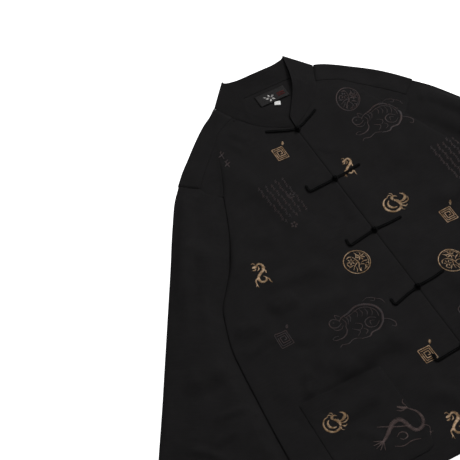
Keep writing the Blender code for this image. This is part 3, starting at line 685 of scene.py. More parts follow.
def pocket_height(points, side):
    """A pocket lies on its front, sewn down round three sides and free along its mouth."""
    sewn = nearest(points, np.vstack((POCKET_LOOP[MOUTH_POINTS:], POCKET_LOOP[:1])))[0]
    mouth = POCKET_MOUTH[1] - points[:, 1]
    slack = rise_over(sewn - POCKET_LOOSE[0], POCKET_LOOSE[1])
    height = front_height(points, side, 0.0) + PITCH
    height += slack * (crease_height(points, POCKET_CREASES[side]) + POCKET_SLACK
                       + 0.5 * unevenness(points, 2.0 + side))
    height += MOUTH_RISE * slack * rise_over(MOUTH_RUN - mouth, MOUTH_RUN)
    height += 0.7 * pucker(points, POCKET_LOOP)
    height = height - dip(sewn, *POCKET_DIP) - sunk(np.abs(sewn - POCKET_STITCH))
    return height - sunk(np.abs(mouth - MOUTH_STITCH))


def sunk(away):
    """Cloth pulled down along a line of stitches."""
    return STITCH_SINK[1] * np.exp(-(away / STITCH_SINK[0]) ** 2)


def back_surface(points):
    """Middle of the back's wall, with its creases."""
    free = rise_over(BACK_NECK - points[:, 1], NECK_RUN)
    return back_height(points) + free * crease_height(points, BACK_CREASES)


def strip_height(points, side):
    """The back's strip in front of the shoulder fold."""
    seam = nearest(points, FORWARD_SEAM)[0]
    fold = nearest(points, shoulder_line(side))[0]
    soft = rise_over(seam - 2.0, STRIP_RUN) * rise_over(fold - 1.0, STRIP_RUN)
    height = top_height(points, side, True) + soft * (0.5 + unevenness(points, 3.0 * side))
    height += pucker(points, FORWARD_SEAM)
    return height - dip(seam, *SEAM_DIP) - dip(nearest(points, ARMHOLE)[0], *SEAM_DIP)


# ---- meshes


def panel(outline, lines, spacing):
    """Triangles of a plan outline with its inner lines and a staggered grid of points."""
    edges = []
    points = list(map(tuple, outline))
    face = list(range(len(points)))
    for line in lines:
        edges += [(k, k + 1) for k in range(len(points), len(points) + len(line) - 1)]
        points += list(map(tuple, line))
    taken = KDTree(len(points))
    for k, point in enumerate(points):
        taken.insert((*point, 0.0), k)
    taken.balance()
    low, high = np.min(outline, axis=0), np.max(outline, axis=0)
    rise = spacing * math.sqrt(3) / 2
    rows = np.arange(low[1] + rise / 2, high[1], rise)
    columns = np.arange(low[0], high[0], spacing)
    grid = np.array([(x + spacing / 2 * (k % 2), y) for k, y in enumerate(rows) for x in columns])
    grid = grid[inside(grid, outline)]
    free = [p for p in grid if taken.find((*p, 0.0))[2] > 0.55 * spacing]
    points += list(map(tuple, free))
    verts, _, faces, _, _, _ = delaunay_2d_cdt([Vector(p) for p in points], edges, [face], 1, 1e-5)
    return np.array([tuple(v) for v in verts]), [tuple(f) for f in faces]


def ring_lines(outline, steps):
    """Closed lines inside an outline, each a little further in."""
    lines = [inset(outline, step) for step in steps]
    return [np.vstack((line, line[:1])) for line in lines]


def grid_faces(rows, columns, start=0, closed=False):
    """Quads between rows of points; in a closed row the last point joins the first."""
    faces = []
    for r in range(rows - 1):
        for c in range(columns if closed else columns - 1):
            n = (c + 1) % columns
            low, high = start + r * columns, start + (r + 1) * columns
            faces.append((low + c, low + n, high + n, high + c))
    return faces


def added(name, verts, faces, uv, material):
    """An object in the scene, with its UV map and its one material."""
    mesh_data = bpy.data.meshes.new(name)
    mesh_data.from_pydata(np.asarray(verts).tolist(), [], faces)
    layer = mesh_data.uv_layers.new(name="UVMap")
    corners = np.zeros(len(mesh_data.loops), int)
    mesh_data.loops.foreach_get("vertex_index", corners)
    layer.data.foreach_set("uv", np.asarray(uv, float)[corners].ravel())
    mesh_data.validate()
    mesh_data.shade_smooth()
    mesh_data.materials.append(material)
    thing = bpy.data.objects.new(name, mesh_data)
    bpy.context.scene.collection.objects.link(thing)
    return thing


def shell(name, verts, faces, uv, wall, material, flip):
    """An object with a cloth wall, half its thickness each way from the given surface."""
    thing = added(name, verts, [f[::-1] for f in faces] if flip else faces, uv, material)
    solid = thing.modifiers.new("wall", "SOLIDIFY")
    solid.thickness = wall
    solid.offset = 0.0
    return thing


def faced_out(thing, merge=0.0):
    """Merges points that lie closer than `merge` metres, and turns every face outward."""
    bm = bmesh.new()
    bm.from_mesh(thing.data)
    bmesh.ops.remove_doubles(bm, verts=bm.verts, dist=merge)
    bmesh.ops.recalc_face_normals(bm, faces=bm.faces)
    bm.to_mesh(thing.data)
    bm.free()


def dressed(thing, node):
    """The piece takes its CAD node's place on the jacket's one body."""
    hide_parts(node)
    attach(thing, "root")
    return thing


def mirrored(points, side):
    """Plan points of one half, put on the wearer's right or left."""
    return points * (side, 1.0)


def make_panel(kind, side, outline, lines, height, cloth):
    """A cut piece of one side, meshed on the plan and raised to its own height."""
    verts, faces = panel(outline, ring_lines(outline, EDGE_STEPS) + lines, cloth.grid * 1000)
    plan = mirrored(verts, side)
    name = f"{kind}_{SIDES[side]}"
    thing = shell(f"cloth_{name}", world(plan, height(verts, side)), faces, plan * 0.001, cloth.wall,
                  cloth_material(), side < 0)
    dressed(thing, name)


def make_front(side, cloth):
    """One front, with points along its drag fold and beside its pocket's mouth."""
    lines = [offset(DRAG_LINE, amount)[1:-1] for amount in FOLD_STEPS]
    x = np.arange(-POCKET_HALF[0], POCKET_HALF[0] + 1.0, OUTLINE_STEP) + POCKET_MOUTH[0]
    lines += [np.column_stack((x, np.full(len(x), POCKET_MOUTH[1] + away))) for away in GROOVE_LINES]
    make_panel("front", side, front_outline(), lines, front_height,
               cloth)


def make_pocket(side, cloth):
    """The patch pocket that lies on one front."""
    make_panel("pocket", side, POCKET_LOOP, [], pocket_height, cloth)


def make_back(cloth):
    """The back, with its strip folded forward over each shoulder to the shoulder seam."""
    x = np.arange(0.0, BACK_NECK_HALF, OUTLINE_STEP)[1:]
    neck = np.column_stack((x, np.full(len(x), BACK_NECK - GAP)))
    armhole = offset(along(ARMHOLE, OUTLINE_STEP), -SEAM_HALF)[1:-1]
    edge = body_edge(BACK_INSET)
    halves = []
    for side in SIDES:
        fold = resample(along(shoulder_line(side), OUTLINE_STEP), SHOULDER_POINTS)
        fold = offset(fold, -ROUND_REACH)
        halves.append(mirrored(np.vstack((neck, fold, armhole, edge, hem(edge[-1, 0]))), side))
    outline = np.vstack((halves[0][::-1], [(0.0, BACK_NECK - GAP)], halves[1], [(0.0, HEM_CF)]))
    verts, faces = panel(outline, [], BACK_GRID)
    height = back_surface(np.column_stack((np.abs(verts[:, 0]), verts[:, 1])))
    all_verts = [world(verts, height)]
    all_uv = [verts * 0.001]
    start = len(verts)
    for side in SIDES:
        plan, high = shoulder_strip(side)
        all_verts.append(world(mirrored(plan, side), high))
        all_uv.append(mirrored(plan, side) * 0.001)
        strip = grid_faces(len(plan) // SHOULDER_POINTS, SHOULDER_POINTS, start)
        faces += strip if side > 0 else [f[::-1] for f in strip]
        start += len(plan)
    back = shell("cloth_back", np.vstack(all_verts), faces, np.vstack(all_uv), cloth.wall,
                 cloth_material(), False)
    faced_out(back, merge=2e-5)
    dressed(back, "back")


def shoulder_strip(side):
    """Rows from the back's edge round the shoulder fold and down to the forward seam."""
    fold = resample(along(shoulder_line(side), OUTLINE_STEP), SHOULDER_POINTS)
    seam = seam_points(False, SHOULDER_POINTS)
    neck = offset(NECKLINE, -SEAM_HALF)[:NECK_CORNER:-1]
    arm = offset(ARMHOLE, -SEAM_HALF)[:ARMHOLE_CORNER]
    plan, high = [], []
    middle = (LAYER[0] + LAYER[1]) / 2
    for angle in np.radians((-90.0, -60.0, -30.0, 0.0, 30.0, 60.0, 90.0)):
        plan.append(offset(fold, -ROUND_REACH * (1.0 - math.cos(angle))))
        high.append(np.full(SHOULDER_POINTS, middle + ROUND_EDGE * math.sin(angle)))
    top = plan[-1]
    for share in np.linspace(0.0, 1.0, STRIP_ROWS)[1:]:
        row = top + (seam - top) * share
        if share < 1.0:
            row[0] = bend(np.vstack((top[:1], neck[1:], seam[:1])), share)
            row[-1] = bend(np.vstack((top[-1:], arm[1:], seam[-1:])), share)
        plan.append(row)
        high.append(strip_height(row, side))
    return np.vstack(plan), np.concatenate(high)


def bend(line, share):
    """The point at a share of the way along a polyline."""
    run = stations(line)
    return np.array([np.interp(share * run[-1], run, line[:, k]) for k in (0, 1)])


# ---- sleeves and collar
SLEEVE_HEAD = np.column_stack(sleeve_frame(offset(along(ARMHOLE, OUTLINE_STEP), SEAM_HALF)))
BODY_ACROSS = np.column_stack(sleeve_frame(BODY_LINE))
FIRST_ROW = SLEEVE[0][0]  # below it the sleeve's rows run straight across


def sleeve_sides(down):
    """Outer and inner edge of the sleeve at some distance down it."""
    first = (0.0, 0.0, SLEEVE_HEAD[-1, 1] + 1.4)
    table = along((first,) + SLEEVE, 12.0)
    outer = np.interp(down, table[:, 0], table[:, 1]) - SLEEVE_FULL * rise_over(down, SLEEVE_FULL_RUN)
    lap = SLEEVE_LAP * rise_over(down - LAP_IN[0], LAP_IN[1])
    lap *= 1.0 - rise_over(down - LAP_OUT[0], LAP_OUT[1])
    return outer, np.interp(down, table[:, 0], table[:, 2]) + lap


def bow(reach, run):
    """Round shoulder of a laid fold: a quarter of an ellipse, from 0 to 1."""
    t = np.clip(reach / run, 0.0, 1.0)
    return np.sqrt(1.0 - (1.0 - t) ** 2)


def sleeve_rise(down, across, plan, side):
    """Height of the sleeve's upper layer above a laid one."""
    outer, inner = sleeve_sides(down)
    body = np.interp(down, BODY_ACROSS[:, 0], BODY_ACROSS[:, 1])
    beside = rise_over(body - 3.0 - across, CROWN_RUN[1])
    free = np.minimum(beside, bow(inner - ROUND_REACH - across, CROWN_RUN[0]))
    crown = np.minimum(bow(across - outer - ROUND_REACH, CROWN_RUN[0]), free)
    crown *= read(SLEEVE_CROWN, down)
    calm = rise_over(down - 4.0, 30.0) * (0.5 + 0.5 * rise_over(SLEEVE_LENGTH - down, 50.0))
    waves = unevenness(plan, 5.0 + side)
    edges = np.minimum(rise_over(across - outer - 2.0, 16.0), rise_over(body - 2.0 - across, 14.0))
    edges = np.minimum(edges, rise_over(inner - 2.0 - across, 16.0))
    rise = crown + calm * edges * (crease_height(plan, SLEEVE_CREASES[side]) + waves)
    rise += pucker(plan, ARMHOLE) * rise_over(body - across, 8.0)
    rise -= dip(nearest(plan, ARMHOLE)[0], *ARMHOLE_DIP)
    rise -= edges * sunk(np.abs(SLEEVE_LENGTH - down - CUFF_STITCH))
    return np.maximum(rise, LEAST_PITCH - PITCH)


def make_sleeve(side, cloth):
    """A tube laid flat, cut to the armhole at its head and open at the cuff."""
    word = SIDES[side]
    parts = 0.5 - 0.5 * np.cos(np.linspace(0.0, math.pi, SLEEVE_POINTS))
    lower = parts[::-3]  # the lower layer, back again with a third of the points
    downs = np.concatenate((np.linspace(0.0, FIRST_ROW, 7)[:-1],
                            np.arange(FIRST_ROW, SLEEVE_LENGTH - 2.0, OUTLINE_STEP),
                            (SLEEVE_LENGTH - 1.0, SLEEVE_LENGTH)))
    head = SLEEVE_HEAD[:, ::-1]
    turn = np.radians((60.0, 30.0, 0.0, -30.0, -60.0))
    middle = (LAYER[0] + LAYER[1]) / 2
    points, heights, uv = [], [], []
    rows = [(0.0, *tuck) for tuck in HEAD_TUCK] + [(down, 0.0, 0.0) for down in downs]
    for down, tuck, depth in rows:
        outer, inner = sleeve_sides(down)
        width = inner - outer - 2 * ROUND_REACH
        across = outer + ROUND_REACH + width * parts
        fold = inner - ROUND_REACH * (1.0 - np.cos(turn))
        under = outer + ROUND_REACH + width * lower
        back = outer + ROUND_REACH * (1.0 - np.cos(turn))
        ring = np.concatenate((across, fold, under, back))
        start = np.interp(ring, head[:, 0], head[:, 1])
        reach = np.full(len(ring), down)
        if down < FIRST_ROW:
            reach = start + (FIRST_ROW - start) * down / FIRST_ROW
        upper = slice(len(across))
        reach[upper] -= tuck
        reach[len(across):] -= 0.1 * tuck
        plan = SLEEVE_START + reach[:, None] * SLEEVE_RUN + ring[:, None] * SLEEVE_IN
        high = np.full(len(ring), LAYER[0])
        high[upper] = LAYER[1] - depth + sleeve_rise(reach[upper], across, plan[upper], side)
        bend_in, bend_out = len(across), len(across) + len(turn) + len(under)
        high[bend_in:bend_in + len(turn)] = middle + ROUND_EDGE * np.sin(turn)
        high[bend_out:] = middle - ROUND_EDGE * np.sin(turn)
        points.append(mirrored(plan, side))
        heights.append(high)
        run = np.concatenate(([0.0], np.cumsum(np.abs(np.diff(ring)))))
        uv.append(np.column_stack((run, reach)) * 0.001)
    faces = grid_faces(len(rows), len(ring), closed=True)
    verts = world(np.vstack(points), np.concatenate(heights))
    sleeve = shell(f"cloth_sleeve_{word}", verts, faces, np.vstack(uv), cloth.wall, cloth_material(),
                   side < 0)
    dressed(sleeve, f"sleeve_{word}")


def collar_half(side):
    """Stations of half the collar: seam point and height, then top edge point and height."""
    seam = offset(NECKLINE, SEAM_HALF)[:-1]
    seam[0] = (1.0, NECKLINE[0][1] + 0.6)
    height = top_height(seam, side, True)
    front = np.column_stack((seam, height, COLLAR_EDGE, height + COLLAR_RISE[1]))
    foot_x, foot_y, top_x, top_y = COLLAR_FOLD
    out = np.array((top_y - foot_y, foot_x - top_x)) / math.dist((foot_x, foot_y), (top_x, top_y))
    low = (LAYER[0], LAYER[0] + COLLAR_RISE[0])
    high = (LAYER[1], LAYER[1] + COLLAR_RISE[1])
    fold = []
    for angle in np.radians(np.linspace(90.0, -90.0, 13)):
        station = []
        for x, y, bottom, top in ((foot_x, foot_y, low[0], high[0]), (top_x, top_y, low[1], high[1])):
            radius = (top - bottom) / 2
            shift = radius * (math.cos(angle) - 1.0)
            station += [x + out[0] * shift, y + out[1] * shift,
                        (top + bottom) / 2 + radius * math.sin(angle)]
        fold.append(station)
    back = [(seam_x, BACK_NECK - NECK_LAP, low[0], edge_x, edge_y, low[1])
            for seam_x, edge_x, edge_y in COLLAR_BACK]
    front = along(np.vstack((front, fold[:1])), 4.0)[:-1]
    back = along(np.vstack((fold[-1:], back)), 6.0)[1:]
    return np.vstack((front, fold, back)) * (side, 1.0, 1.0, side, 1.0, 1.0)


def make_collar():
    """Stand collar: one band, laid flat with a fold at each side."""
    rows = np.vstack((collar_half(-1)[:-1], collar_half(1)[::-1]))
    shares = np.concatenate(((0.0, 0.015, 0.04, 0.08), np.linspace(0.13, 0.87, 13),
                             (0.92, 0.96, 0.985, 1.0)))
    seam, edge = rows[:, :3], rows[:, 3:]
    ends = np.minimum(np.hypot(*(seam[:, :2] - seam[:1, :2]).T), np.hypot(*(seam[:, :2] - seam[-1:, :2]).T))
    band = (edge - seam) * (1.0 + COLLAR_FULL * rise_over(ends, COLLAR_FULL_RUN)[:, None])
    verts = seam[:, None] + band[:, None] * shares[None, :, None]
    upper = np.clip((edge[:, 2] - LAYER[1]) / COLLAR_RISE[1] + 0.2, 0.0, 1.0)[:, None]
    loose = rise_over(ends - COLLAR_LOOSE[0], COLLAR_LOOSE[1])[:, None]
    verts[..., 2] += upper * COLLAR_BULGE * np.sin(math.pi * shares)
    ahead, beside, behind = COLLAR_STAND
    stand = ahead + (beside - ahead) * rise_over(ends, COLLAR_RUN[0])
    inner = rise_over(COLLAR_BACK_HALF - np.abs(seam[:, 0]), COLLAR_RUN[1]) * (1.0 - upper[:, 0])
    stand += (behind - beside) * inner
    verts[..., 2] += stand[:, None] * shares ** COLLAR_CURVE + COLLAR_LIFT
    verts[..., 2] -= upper * dip(COLLAR_CUT[1] * 1000.0 * shares, *COLLAR_DIP)
    flat = verts[..., :2].reshape(-1, 2)
    wrinkle = np.zeros(len(flat))
    for side in SIDES:
        own = flat[:, 0] * side > 0
        wrinkle[own] = crease_height(mirrored(flat[own], side), COLLAR_CREASES[side])
    free = upper * loose * rise_over(1.0 - shares, 0.16) * rise_over(shares, 0.1)
    verts[..., 2] += free * wrinkle.reshape(len(rows), -1)
    run = stations(seam[:, :2])[:, None] * 0.001
    uv = np.stack(np.broadcast_arrays(run, COLLAR_CUT[1] * shares[None]), axis=-1).reshape(-1, 2)
    points = verts.reshape(-1, 3)
    collar = shell("cloth_collar", world(points[:, :2], points[:, 2]),
                   grid_faces(len(rows), len(shares)), uv, COLLAR_WALL * 0.001, cloth_material(), True)
    rim = collar.modifiers.new("rounded edge", "BEVEL")
    rim.width = COLLAR_RIM * 0.001
    rim.segments = 2
    rim.limit_method = "ANGLE"
    rim.angle_limit = math.radians(60)
    dressed(collar, "collar")


# ---- materials


def node(tree, kind, settings=None, **inputs):
    """Adds a node; an input is a value or another node's socket, by its name or its number."""
    made = tree.nodes.new(kind)
    for name, value in (settings or {}).items():
        setattr(made, name, value)
    for name, value in inputs.items():
        key = int(name[1:]) if name[1:].isdigit() else name.replace("_", " ")
        if isinstance(value, bpy.types.NodeSocket):
            tree.links.new(value, made.inputs[key])
        else:
            made.inputs[key].default_value = value
    return made


def math_of(tree, operation, *values):
    """Output of a new Math node."""
    inputs = {f"n{k}": value for k, value in enumerate(values)}
    return node(tree, "ShaderNodeMath", {"operation": operation}, **inputs).outputs[0]


def new_group(name, inputs, outputs):
    """A shader node group with its sockets: name, kind, default."""
    tree = bpy.data.node_groups.new(name, "ShaderNodeTree")
    for label, kind, default in inputs:
        socket = tree.interface.new_socket(label, in_out="INPUT", socket_type=f"NodeSocket{kind}")
        if default is not None:
            socket.default_value = default
    for label, kind in outputs:
        tree.interface.new_socket(label, in_out="OUTPUT", socket_type=f"NodeSocket{kind}")
    return tree, tree.nodes.new("NodeGroupInput").outputs, tree.nodes.new("NodeGroupOutput").inputs


def weave_group():
    """Twill: colour and normal of a cloth whose threads cross on a slant, with uneven threads."""
    if "twill weave" in bpy.data.node_groups:
        return bpy.data.node_groups["twill weave"]
    tree, given, result = new_group(
        "twill weave",
        (("Position", "Vector", None), ("Colour", "Color", (0.01, 0.01, 0.01, 1.0)),
         ("Pitch", "Float", 0.0008), ("Relief", "Float", 0.5), ("Mottling", "Float", 0.3)),
        (("Colour", "Color"), ("Normal", "Vector")))
    place = node(tree, "ShaderNodeSeparateXYZ", Vector=given["Position"]).outputs
    turns = math_of(tree, "DIVIDE", math.tau, given["Pitch"])
    slant = math_of(tree, "MULTIPLY", math_of(tree, "ADD", place["X"], place["Y"]), turns)
    across = math_of(tree, "MULTIPLY", math_of(tree, "MULTIPLY", place["X"], 2.0), turns)
    rib = math_of(tree, "SINE", slant)
    thread = math_of(tree, "MULTIPLY", math_of(tree, "SINE", across), 0.35)
    slub_place = node(tree, "ShaderNodeMapping", Vector=given["Position"], Scale=(30.0, 900.0, 1.0))
    slub = node(tree, "ShaderNodeTexNoise", Vector=slub_place.outputs[0], Scale=1.0, Detail=2.0)
    patch = node(tree, "ShaderNodeTexNoise", Vector=given["Position"], Scale=34.0, Detail=5.0,
                 Roughness=0.65)
    fine = math_of(tree, "ADD", math_of(tree, "ADD", rib, thread), slub.outputs["Fac"])
    uneven = math_of(tree, "MULTIPLY", math_of(tree, "SUBTRACT", patch.outputs["Fac"], 0.5),
                     given["Mottling"])
    streak = math_of(tree, "MULTIPLY", math_of(tree, "SUBTRACT", slub.outputs["Fac"], 0.5), 0.45)
    shade = math_of(tree, "ADD", math_of(tree, "ADD", uneven, streak),
                    math_of(tree, "MULTIPLY_ADD", rib, 0.09, 1.0))
    colour = node(tree, "ShaderNodeVectorMath", {"operation": "SCALE"}, n0=given["Colour"], Scale=shade)
    relief = node(tree, "ShaderNodeBump", Strength=given["Relief"], Distance=0.00012, Height=fine)
    tree.links.new(colour.outputs[0], result["Colour"])
    tree.links.new(relief.outputs[0], result["Normal"])
    return tree


def new_material(name, roughness, specular):
    """A material, its node tree and its shader's inputs."""
    made = bpy.data.materials.new(name)
    made.use_nodes = True
    shader = made.node_tree.nodes["Principled BSDF"].inputs
    shader["Roughness"].default_value = roughness
    shader["Specular IOR Level"].default_value = specular
    return made, made.node_tree, shader


def woven_material(name, colour, pitch, relief, mottling, roughness, specular):
    """A woven cloth: the twill's colour and normal, laid out on the piece's own UV map."""
    if name in bpy.data.materials:
        return bpy.data.materials[name]
    made, tree, shader = new_material(name, roughness, specular)
    place = node(tree, "ShaderNodeUVMap", {"uv_map": "UVMap"}).outputs[0]
    weave = node(tree, "ShaderNodeGroup", {"node_tree": weave_group()}, Position=place,
                 Colour=(*colour, 1.0), Pitch=pitch, Relief=relief, Mottling=mottling)
    tree.links.new(weave.outputs["Colour"], shader["Base Color"])
    tree.links.new(weave.outputs["Normal"], shader["Normal"])
    return made


def cloth_material():
    """Black twill with next to no shine."""
    cloth = bpy.context.scene.jacket_cloth
    return woven_material("jacket cloth", cloth.colour, cloth.twill_pitch, cloth.relief,
                          cloth.mottling, roughness=0.85, specular=0.03)


def cord_material():
    """Black satin cord, ribbed on a slant."""
    cord = bpy.context.scene.jacket_cord
    return woven_material("bias cord", cord.colour, cord.rib_pitch, relief=0.5, mottling=0.2,
                          roughness=0.5, specular=0.06)


def label_material(name, colour):
    """Fine satin weave of the label and the size tab."""
    return woven_material(name, colour, pitch=0.0006, relief=0.35, mottling=0.15, roughness=0.6,
                          specular=0.15)


def thread_material(name, colour, other, roughness, specular):
    """Embroidery thread: its tone wanders in patches between two colours, and from strand to strand. For the
    gold these are a lit and a shaded copy of one colour: painted highlight and painted shade.
    """
    if name in bpy.data.materials:
        return bpy.data.materials[name]
    made, tree, shader = new_material(name, roughness, specular)
    place = node(tree, "ShaderNodeTexCoord").outputs["Object"]
    patch = node(tree, "ShaderNodeTexNoise", Vector=place, Scale=170.0, Detail=1.5)
    strand = node(tree, "ShaderNodeTexNoise", Vector=place, Scale=1400.0, Detail=1.0)
    choice = node(tree, "ShaderNodeMapRange", Value=patch.outputs["Fac"], From_Min=0.38, From_Max=0.62)
    dye = node(tree, "ShaderNodeMix", {"data_type": "RGBA"}, n0=choice.outputs[0], n6=(*colour, 1.0),
               n7=(*other, 1.0))
    shade = math_of(tree, "MULTIPLY_ADD", strand.outputs["Fac"], 0.9, 0.55)
    tone = node(tree, "ShaderNodeVectorMath", {"operation": "SCALE"}, n0=dye.outputs[2], Scale=shade)
    tree.links.new(tone.outputs[0], shader["Base Color"])
    return made


# ---- what lies on the cloth


class Ground:
    """Topmost point of the given pieces under a plan point."""

    def __init__(self, names):
        graph = bpy.context.evaluated_depsgraph_get()
        self.trees = [BVHTree.FromObject(bpy.data.objects[name], graph) for name in names]
        self.last = (LAYER[1], Vector((0.0, 0.0, 1.0)))

    def at(self, x, y):
        """Height in millimetres and the surface's direction; over a gap, those just before it."""
        start = Vector((x, y - MIDDLE_Y, 100.0)) * 0.001
        hits = [tree.ray_cast(start, Vector((0.0, 0.0, -1.0))) for tree in self.trees]
        hits = [hit for hit in hits if hit[0] is not None]
        if hits:
            top = max(hits, key=lambda hit: hit[0].z)
            self.last = (top[0].z * 1000, top[1])
        return self.last

    def heights(self, plan):
        """Height in millimetres under each plan point."""
        return np.array([self.at(x, y)[0] for x, y in plan])


def smoothed(values, passes):
    """Evens out a run of heights without sinking any of them far."""
    for _ in range(passes):
        wide = np.pad(values, 1, mode="edge")
        values = np.maximum(values, (wide[:-2] + 2 * wide[1:-1] + wide[2:]) / 4)
    return values


def tube(path, radius, sides, up=None, closed=False):
    """Round cord along a path in millimetres; `up` holds a direction away from it at each point."""
    if closed:
        run = np.roll(path, -1, axis=0) - np.roll(path, 1, axis=0)
    else:
        run = np.gradient(path, axis=0)
    run /= np.linalg.norm(run, axis=1)[:, None]
    up = np.tile((0.0, 0.0, 1.0), (len(path), 1)) if up is None else up
    wide = np.cross(run, up)
    wide /= np.linalg.norm(wide, axis=1)[:, None]
    up = np.cross(wide, run)
    angle = np.linspace(0.0, math.tau, sides, endpoint=False)
    rings = path[:, None] + radius * (np.cos(angle)[None, :, None] * wide[:, None]
                                      + np.sin(angle)[None, :, None] * up[:, None])
    count = len(path)
    faces = grid_faces(count, sides, closed=True)
    if closed:
        last = (count - 1) * sides
        faces += [(last + k, last + (k + 1) % sides, (k + 1) % sides, k) for k in range(sides)]
    else:
        faces += [tuple(range(sides))[::-1], tuple(range((count - 1) * sides, count * sides))]
    length = np.concatenate(([0.0], np.cumsum(np.linalg.norm(np.diff(path, axis=0), axis=1))))
    uv = np.stack(np.broadcast_arrays(length[:, None], radius * angle[None]), axis=-1) * 0.001
    return rings.reshape(-1, 3), faces, uv.reshape(-1, 2)


def solid(name, parts, material):
    """One object from meshes given as points in plan millimetres, faces and UVs."""
    verts, faces, uvs = [], [], []
    for points, part, uv in parts:
        start = sum(len(v) for v in verts)
        verts.append(points)
        uvs.append(uv)
        faces += [tuple(start + k for k in face) for face in part]
    points = np.vstack(verts)
    thing = added(name, world(points[:, :2], points[:, 2]), faces, np.vstack(uvs), material)
    faced_out(thing)
    return thing


# ---- fastenings


def strip_line(side, knot_y, end_y, first):
    """Middle of a doubled cord, from beside the knot to its outer end, x running outward."""
    if first:
        points = [(KNOT_RING, knot_y + KNOT_RISE)] + [(x, knot_y + rise) for x, rise in TOP_FROG]
        return along(points, CORD_STEP)
    points = [(KNOT_RING, knot_y + 0.1 * (end_y - knot_y)), (28.0, (knot_y + end_y) / 2 - 0.5),
              (FROG_REACH - HOOK_RADIUS, end_y)]
    line = along(points, CORD_STEP)
    if side > 0:
        return np.vstack((line, along((points[-1], (FROG_REACH, end_y)), CORD_STEP)[1:]))
    centre = np.array((FROG_REACH - HOOK_RADIUS, end_y + HOOK_RADIUS))
    angle = np.linspace(-math.pi / 2, 0.0, 7)[1:, None]
    turn = centre + HOOK_RADIUS * spokes(angle)
    tip = along((turn[-1], (FROG_REACH - 0.6, end_y + FROG_HOOK)), CORD_STEP)[1:]
    return np.vstack((line, turn, tip))


def cord_loop(side, line, knot_y):
    """Plan of a doubled cord that turns back at its outer end; on the right it rounds the knot."""
    out, back = offset(line, CORD_LANE), offset(line, -CORD_LANE)
    run = line[-1] - line[-2]
    first = math.atan2(run[1], run[0])
    angle = np.linspace(math.pi / 2, -math.pi / 2, 7)[1:-1, None] + first
    turn = line[-1] + CORD_LANE * spokes(angle)
    lanes = np.vstack((out, turn, back[::-1]))
    if side > 0:
        under = np.array((0.0, knot_y))
        return np.vstack((under + (1.5, 0.6), lanes, under + (1.5, -0.6))), False
    start = math.asin(CORD_LANE / KNOT_RING)
    angle = np.linspace(-start, start - math.tau, 22)[1:-1, None]
    ring = np.array((0.0, knot_y)) + KNOT_RING * spokes(angle)
    return np.vstack((lanes, ring)), True


def knot_parts(ground, knot_y):
    """A button knot: one cord that winds three times round a ball, over and under itself."""
    share = np.linspace(0.0, 1.0, 150, endpoint=False)
    turn = math.tau * KNOT_TURNS * share
    rise = KNOT_SWING * np.sin(math.tau * KNOT_SWINGS * share)
    reach = KNOT_BALL + KNOT_PASS * np.sin(math.tau * 2 * KNOT_SWINGS * share)
    out = directions(turn, rise)
    squash = np.array((1.0, 1.0, KNOT_FLAT))
    high = ground.at(-CENTRE_CLEAR, knot_y)[0] + CORD_RADIUS + 0.4 + KNOT_BALL * KNOT_FLAT
    centre = np.array((0.0, knot_y, high))
    weave = tube(centre + reach[:, None] * out * squash, KNOT_CORD, CORD_SIDES, up=out, closed=True)
    rows, columns = 7, 14
    lean = np.linspace(-1.45, 1.45, rows)[:, None]
    spin = np.linspace(0.0, math.tau, columns, endpoint=False)[None]
    ball = directions(spin, lean).reshape(-1, 3)
    faces = grid_faces(rows, columns, closed=True)
    faces += [tuple(range(columns))[::-1], tuple(range((rows - 1) * columns, rows * columns))]
    core = centre + (KNOT_BALL - 0.2) * ball * squash
    return [weave, (core, faces, ball[:, :2] * 0.003)]


def make_frog(number, knot_y, right_end, left_end, ground):
    """A knot on the centre front, its loop from the wearer's right and its strip on the left."""
    for (side, word), end_y in zip(SIDES.items(), (right_end, left_end)):
        line = strip_line(side, knot_y, end_y, number == 1)
        plan, closed = cord_loop(side, line, knot_y)
        plan = mirrored(plan, side)
        beside = np.sign(plan[:, 0] + 0.01 * side) * CENTRE_CLEAR
        flat = np.where(np.abs(plan[:, 0]) < CENTRE_CLEAR, beside, plan[:, 0])
        high = smoothed(ground.heights(np.column_stack((flat, plan[:, 1]))), 3)
        path = np.column_stack((plan, high + CORD_RADIUS + CORD_CLEAR))
        strip = solid(f"cord_frog_{number}_{word}",
                      [tube(path, CORD_RADIUS, CORD_SIDES, closed=closed)], cord_material())
        dressed(strip, f"frog_{number}_{word}")
    knot = solid(f"cord_frog_{number}_knot", knot_parts(ground, knot_y), cord_material())
    dressed(knot, f"frog_{number}_knot")


# ---- labels


def make_tag(name, target, size, centre, turn, curl, material, ground):
    """A woven tag whose edges sink a little, curled a little off the cloth at its free end."""
    length, width, wall = size
    columns, rows = TAG_GRID
    x = np.linspace(-0.5, 0.5, columns) * length
    y = np.linspace(-0.5, 0.5, rows) * width
    plan = np.stack(np.meshgrid(x, y), axis=-1).reshape(-1, 2)
    edge = np.minimum(length / 2 - np.abs(plan[:, 0]), width / 2 - np.abs(plan[:, 1]))
    high = curl * rise_over(-plan[:, 1] / width + 0.2, 0.7) - 0.12 * rise_over(0.8 - edge, 0.8)
    high += 0.15 * np.sin(plan[:, 0] / length * 5.0 + 0.7)
    spots = rotated(plan, turn) + centre
    base = max(ground.heights(spots)) + 0.35 + wall / 2
    tag = shell(name, world(spots, base + high), grid_faces(rows, columns), plan * 0.001, wall * 0.001,
                material, False)
    dressed(tag, target)


# ---- embroidery


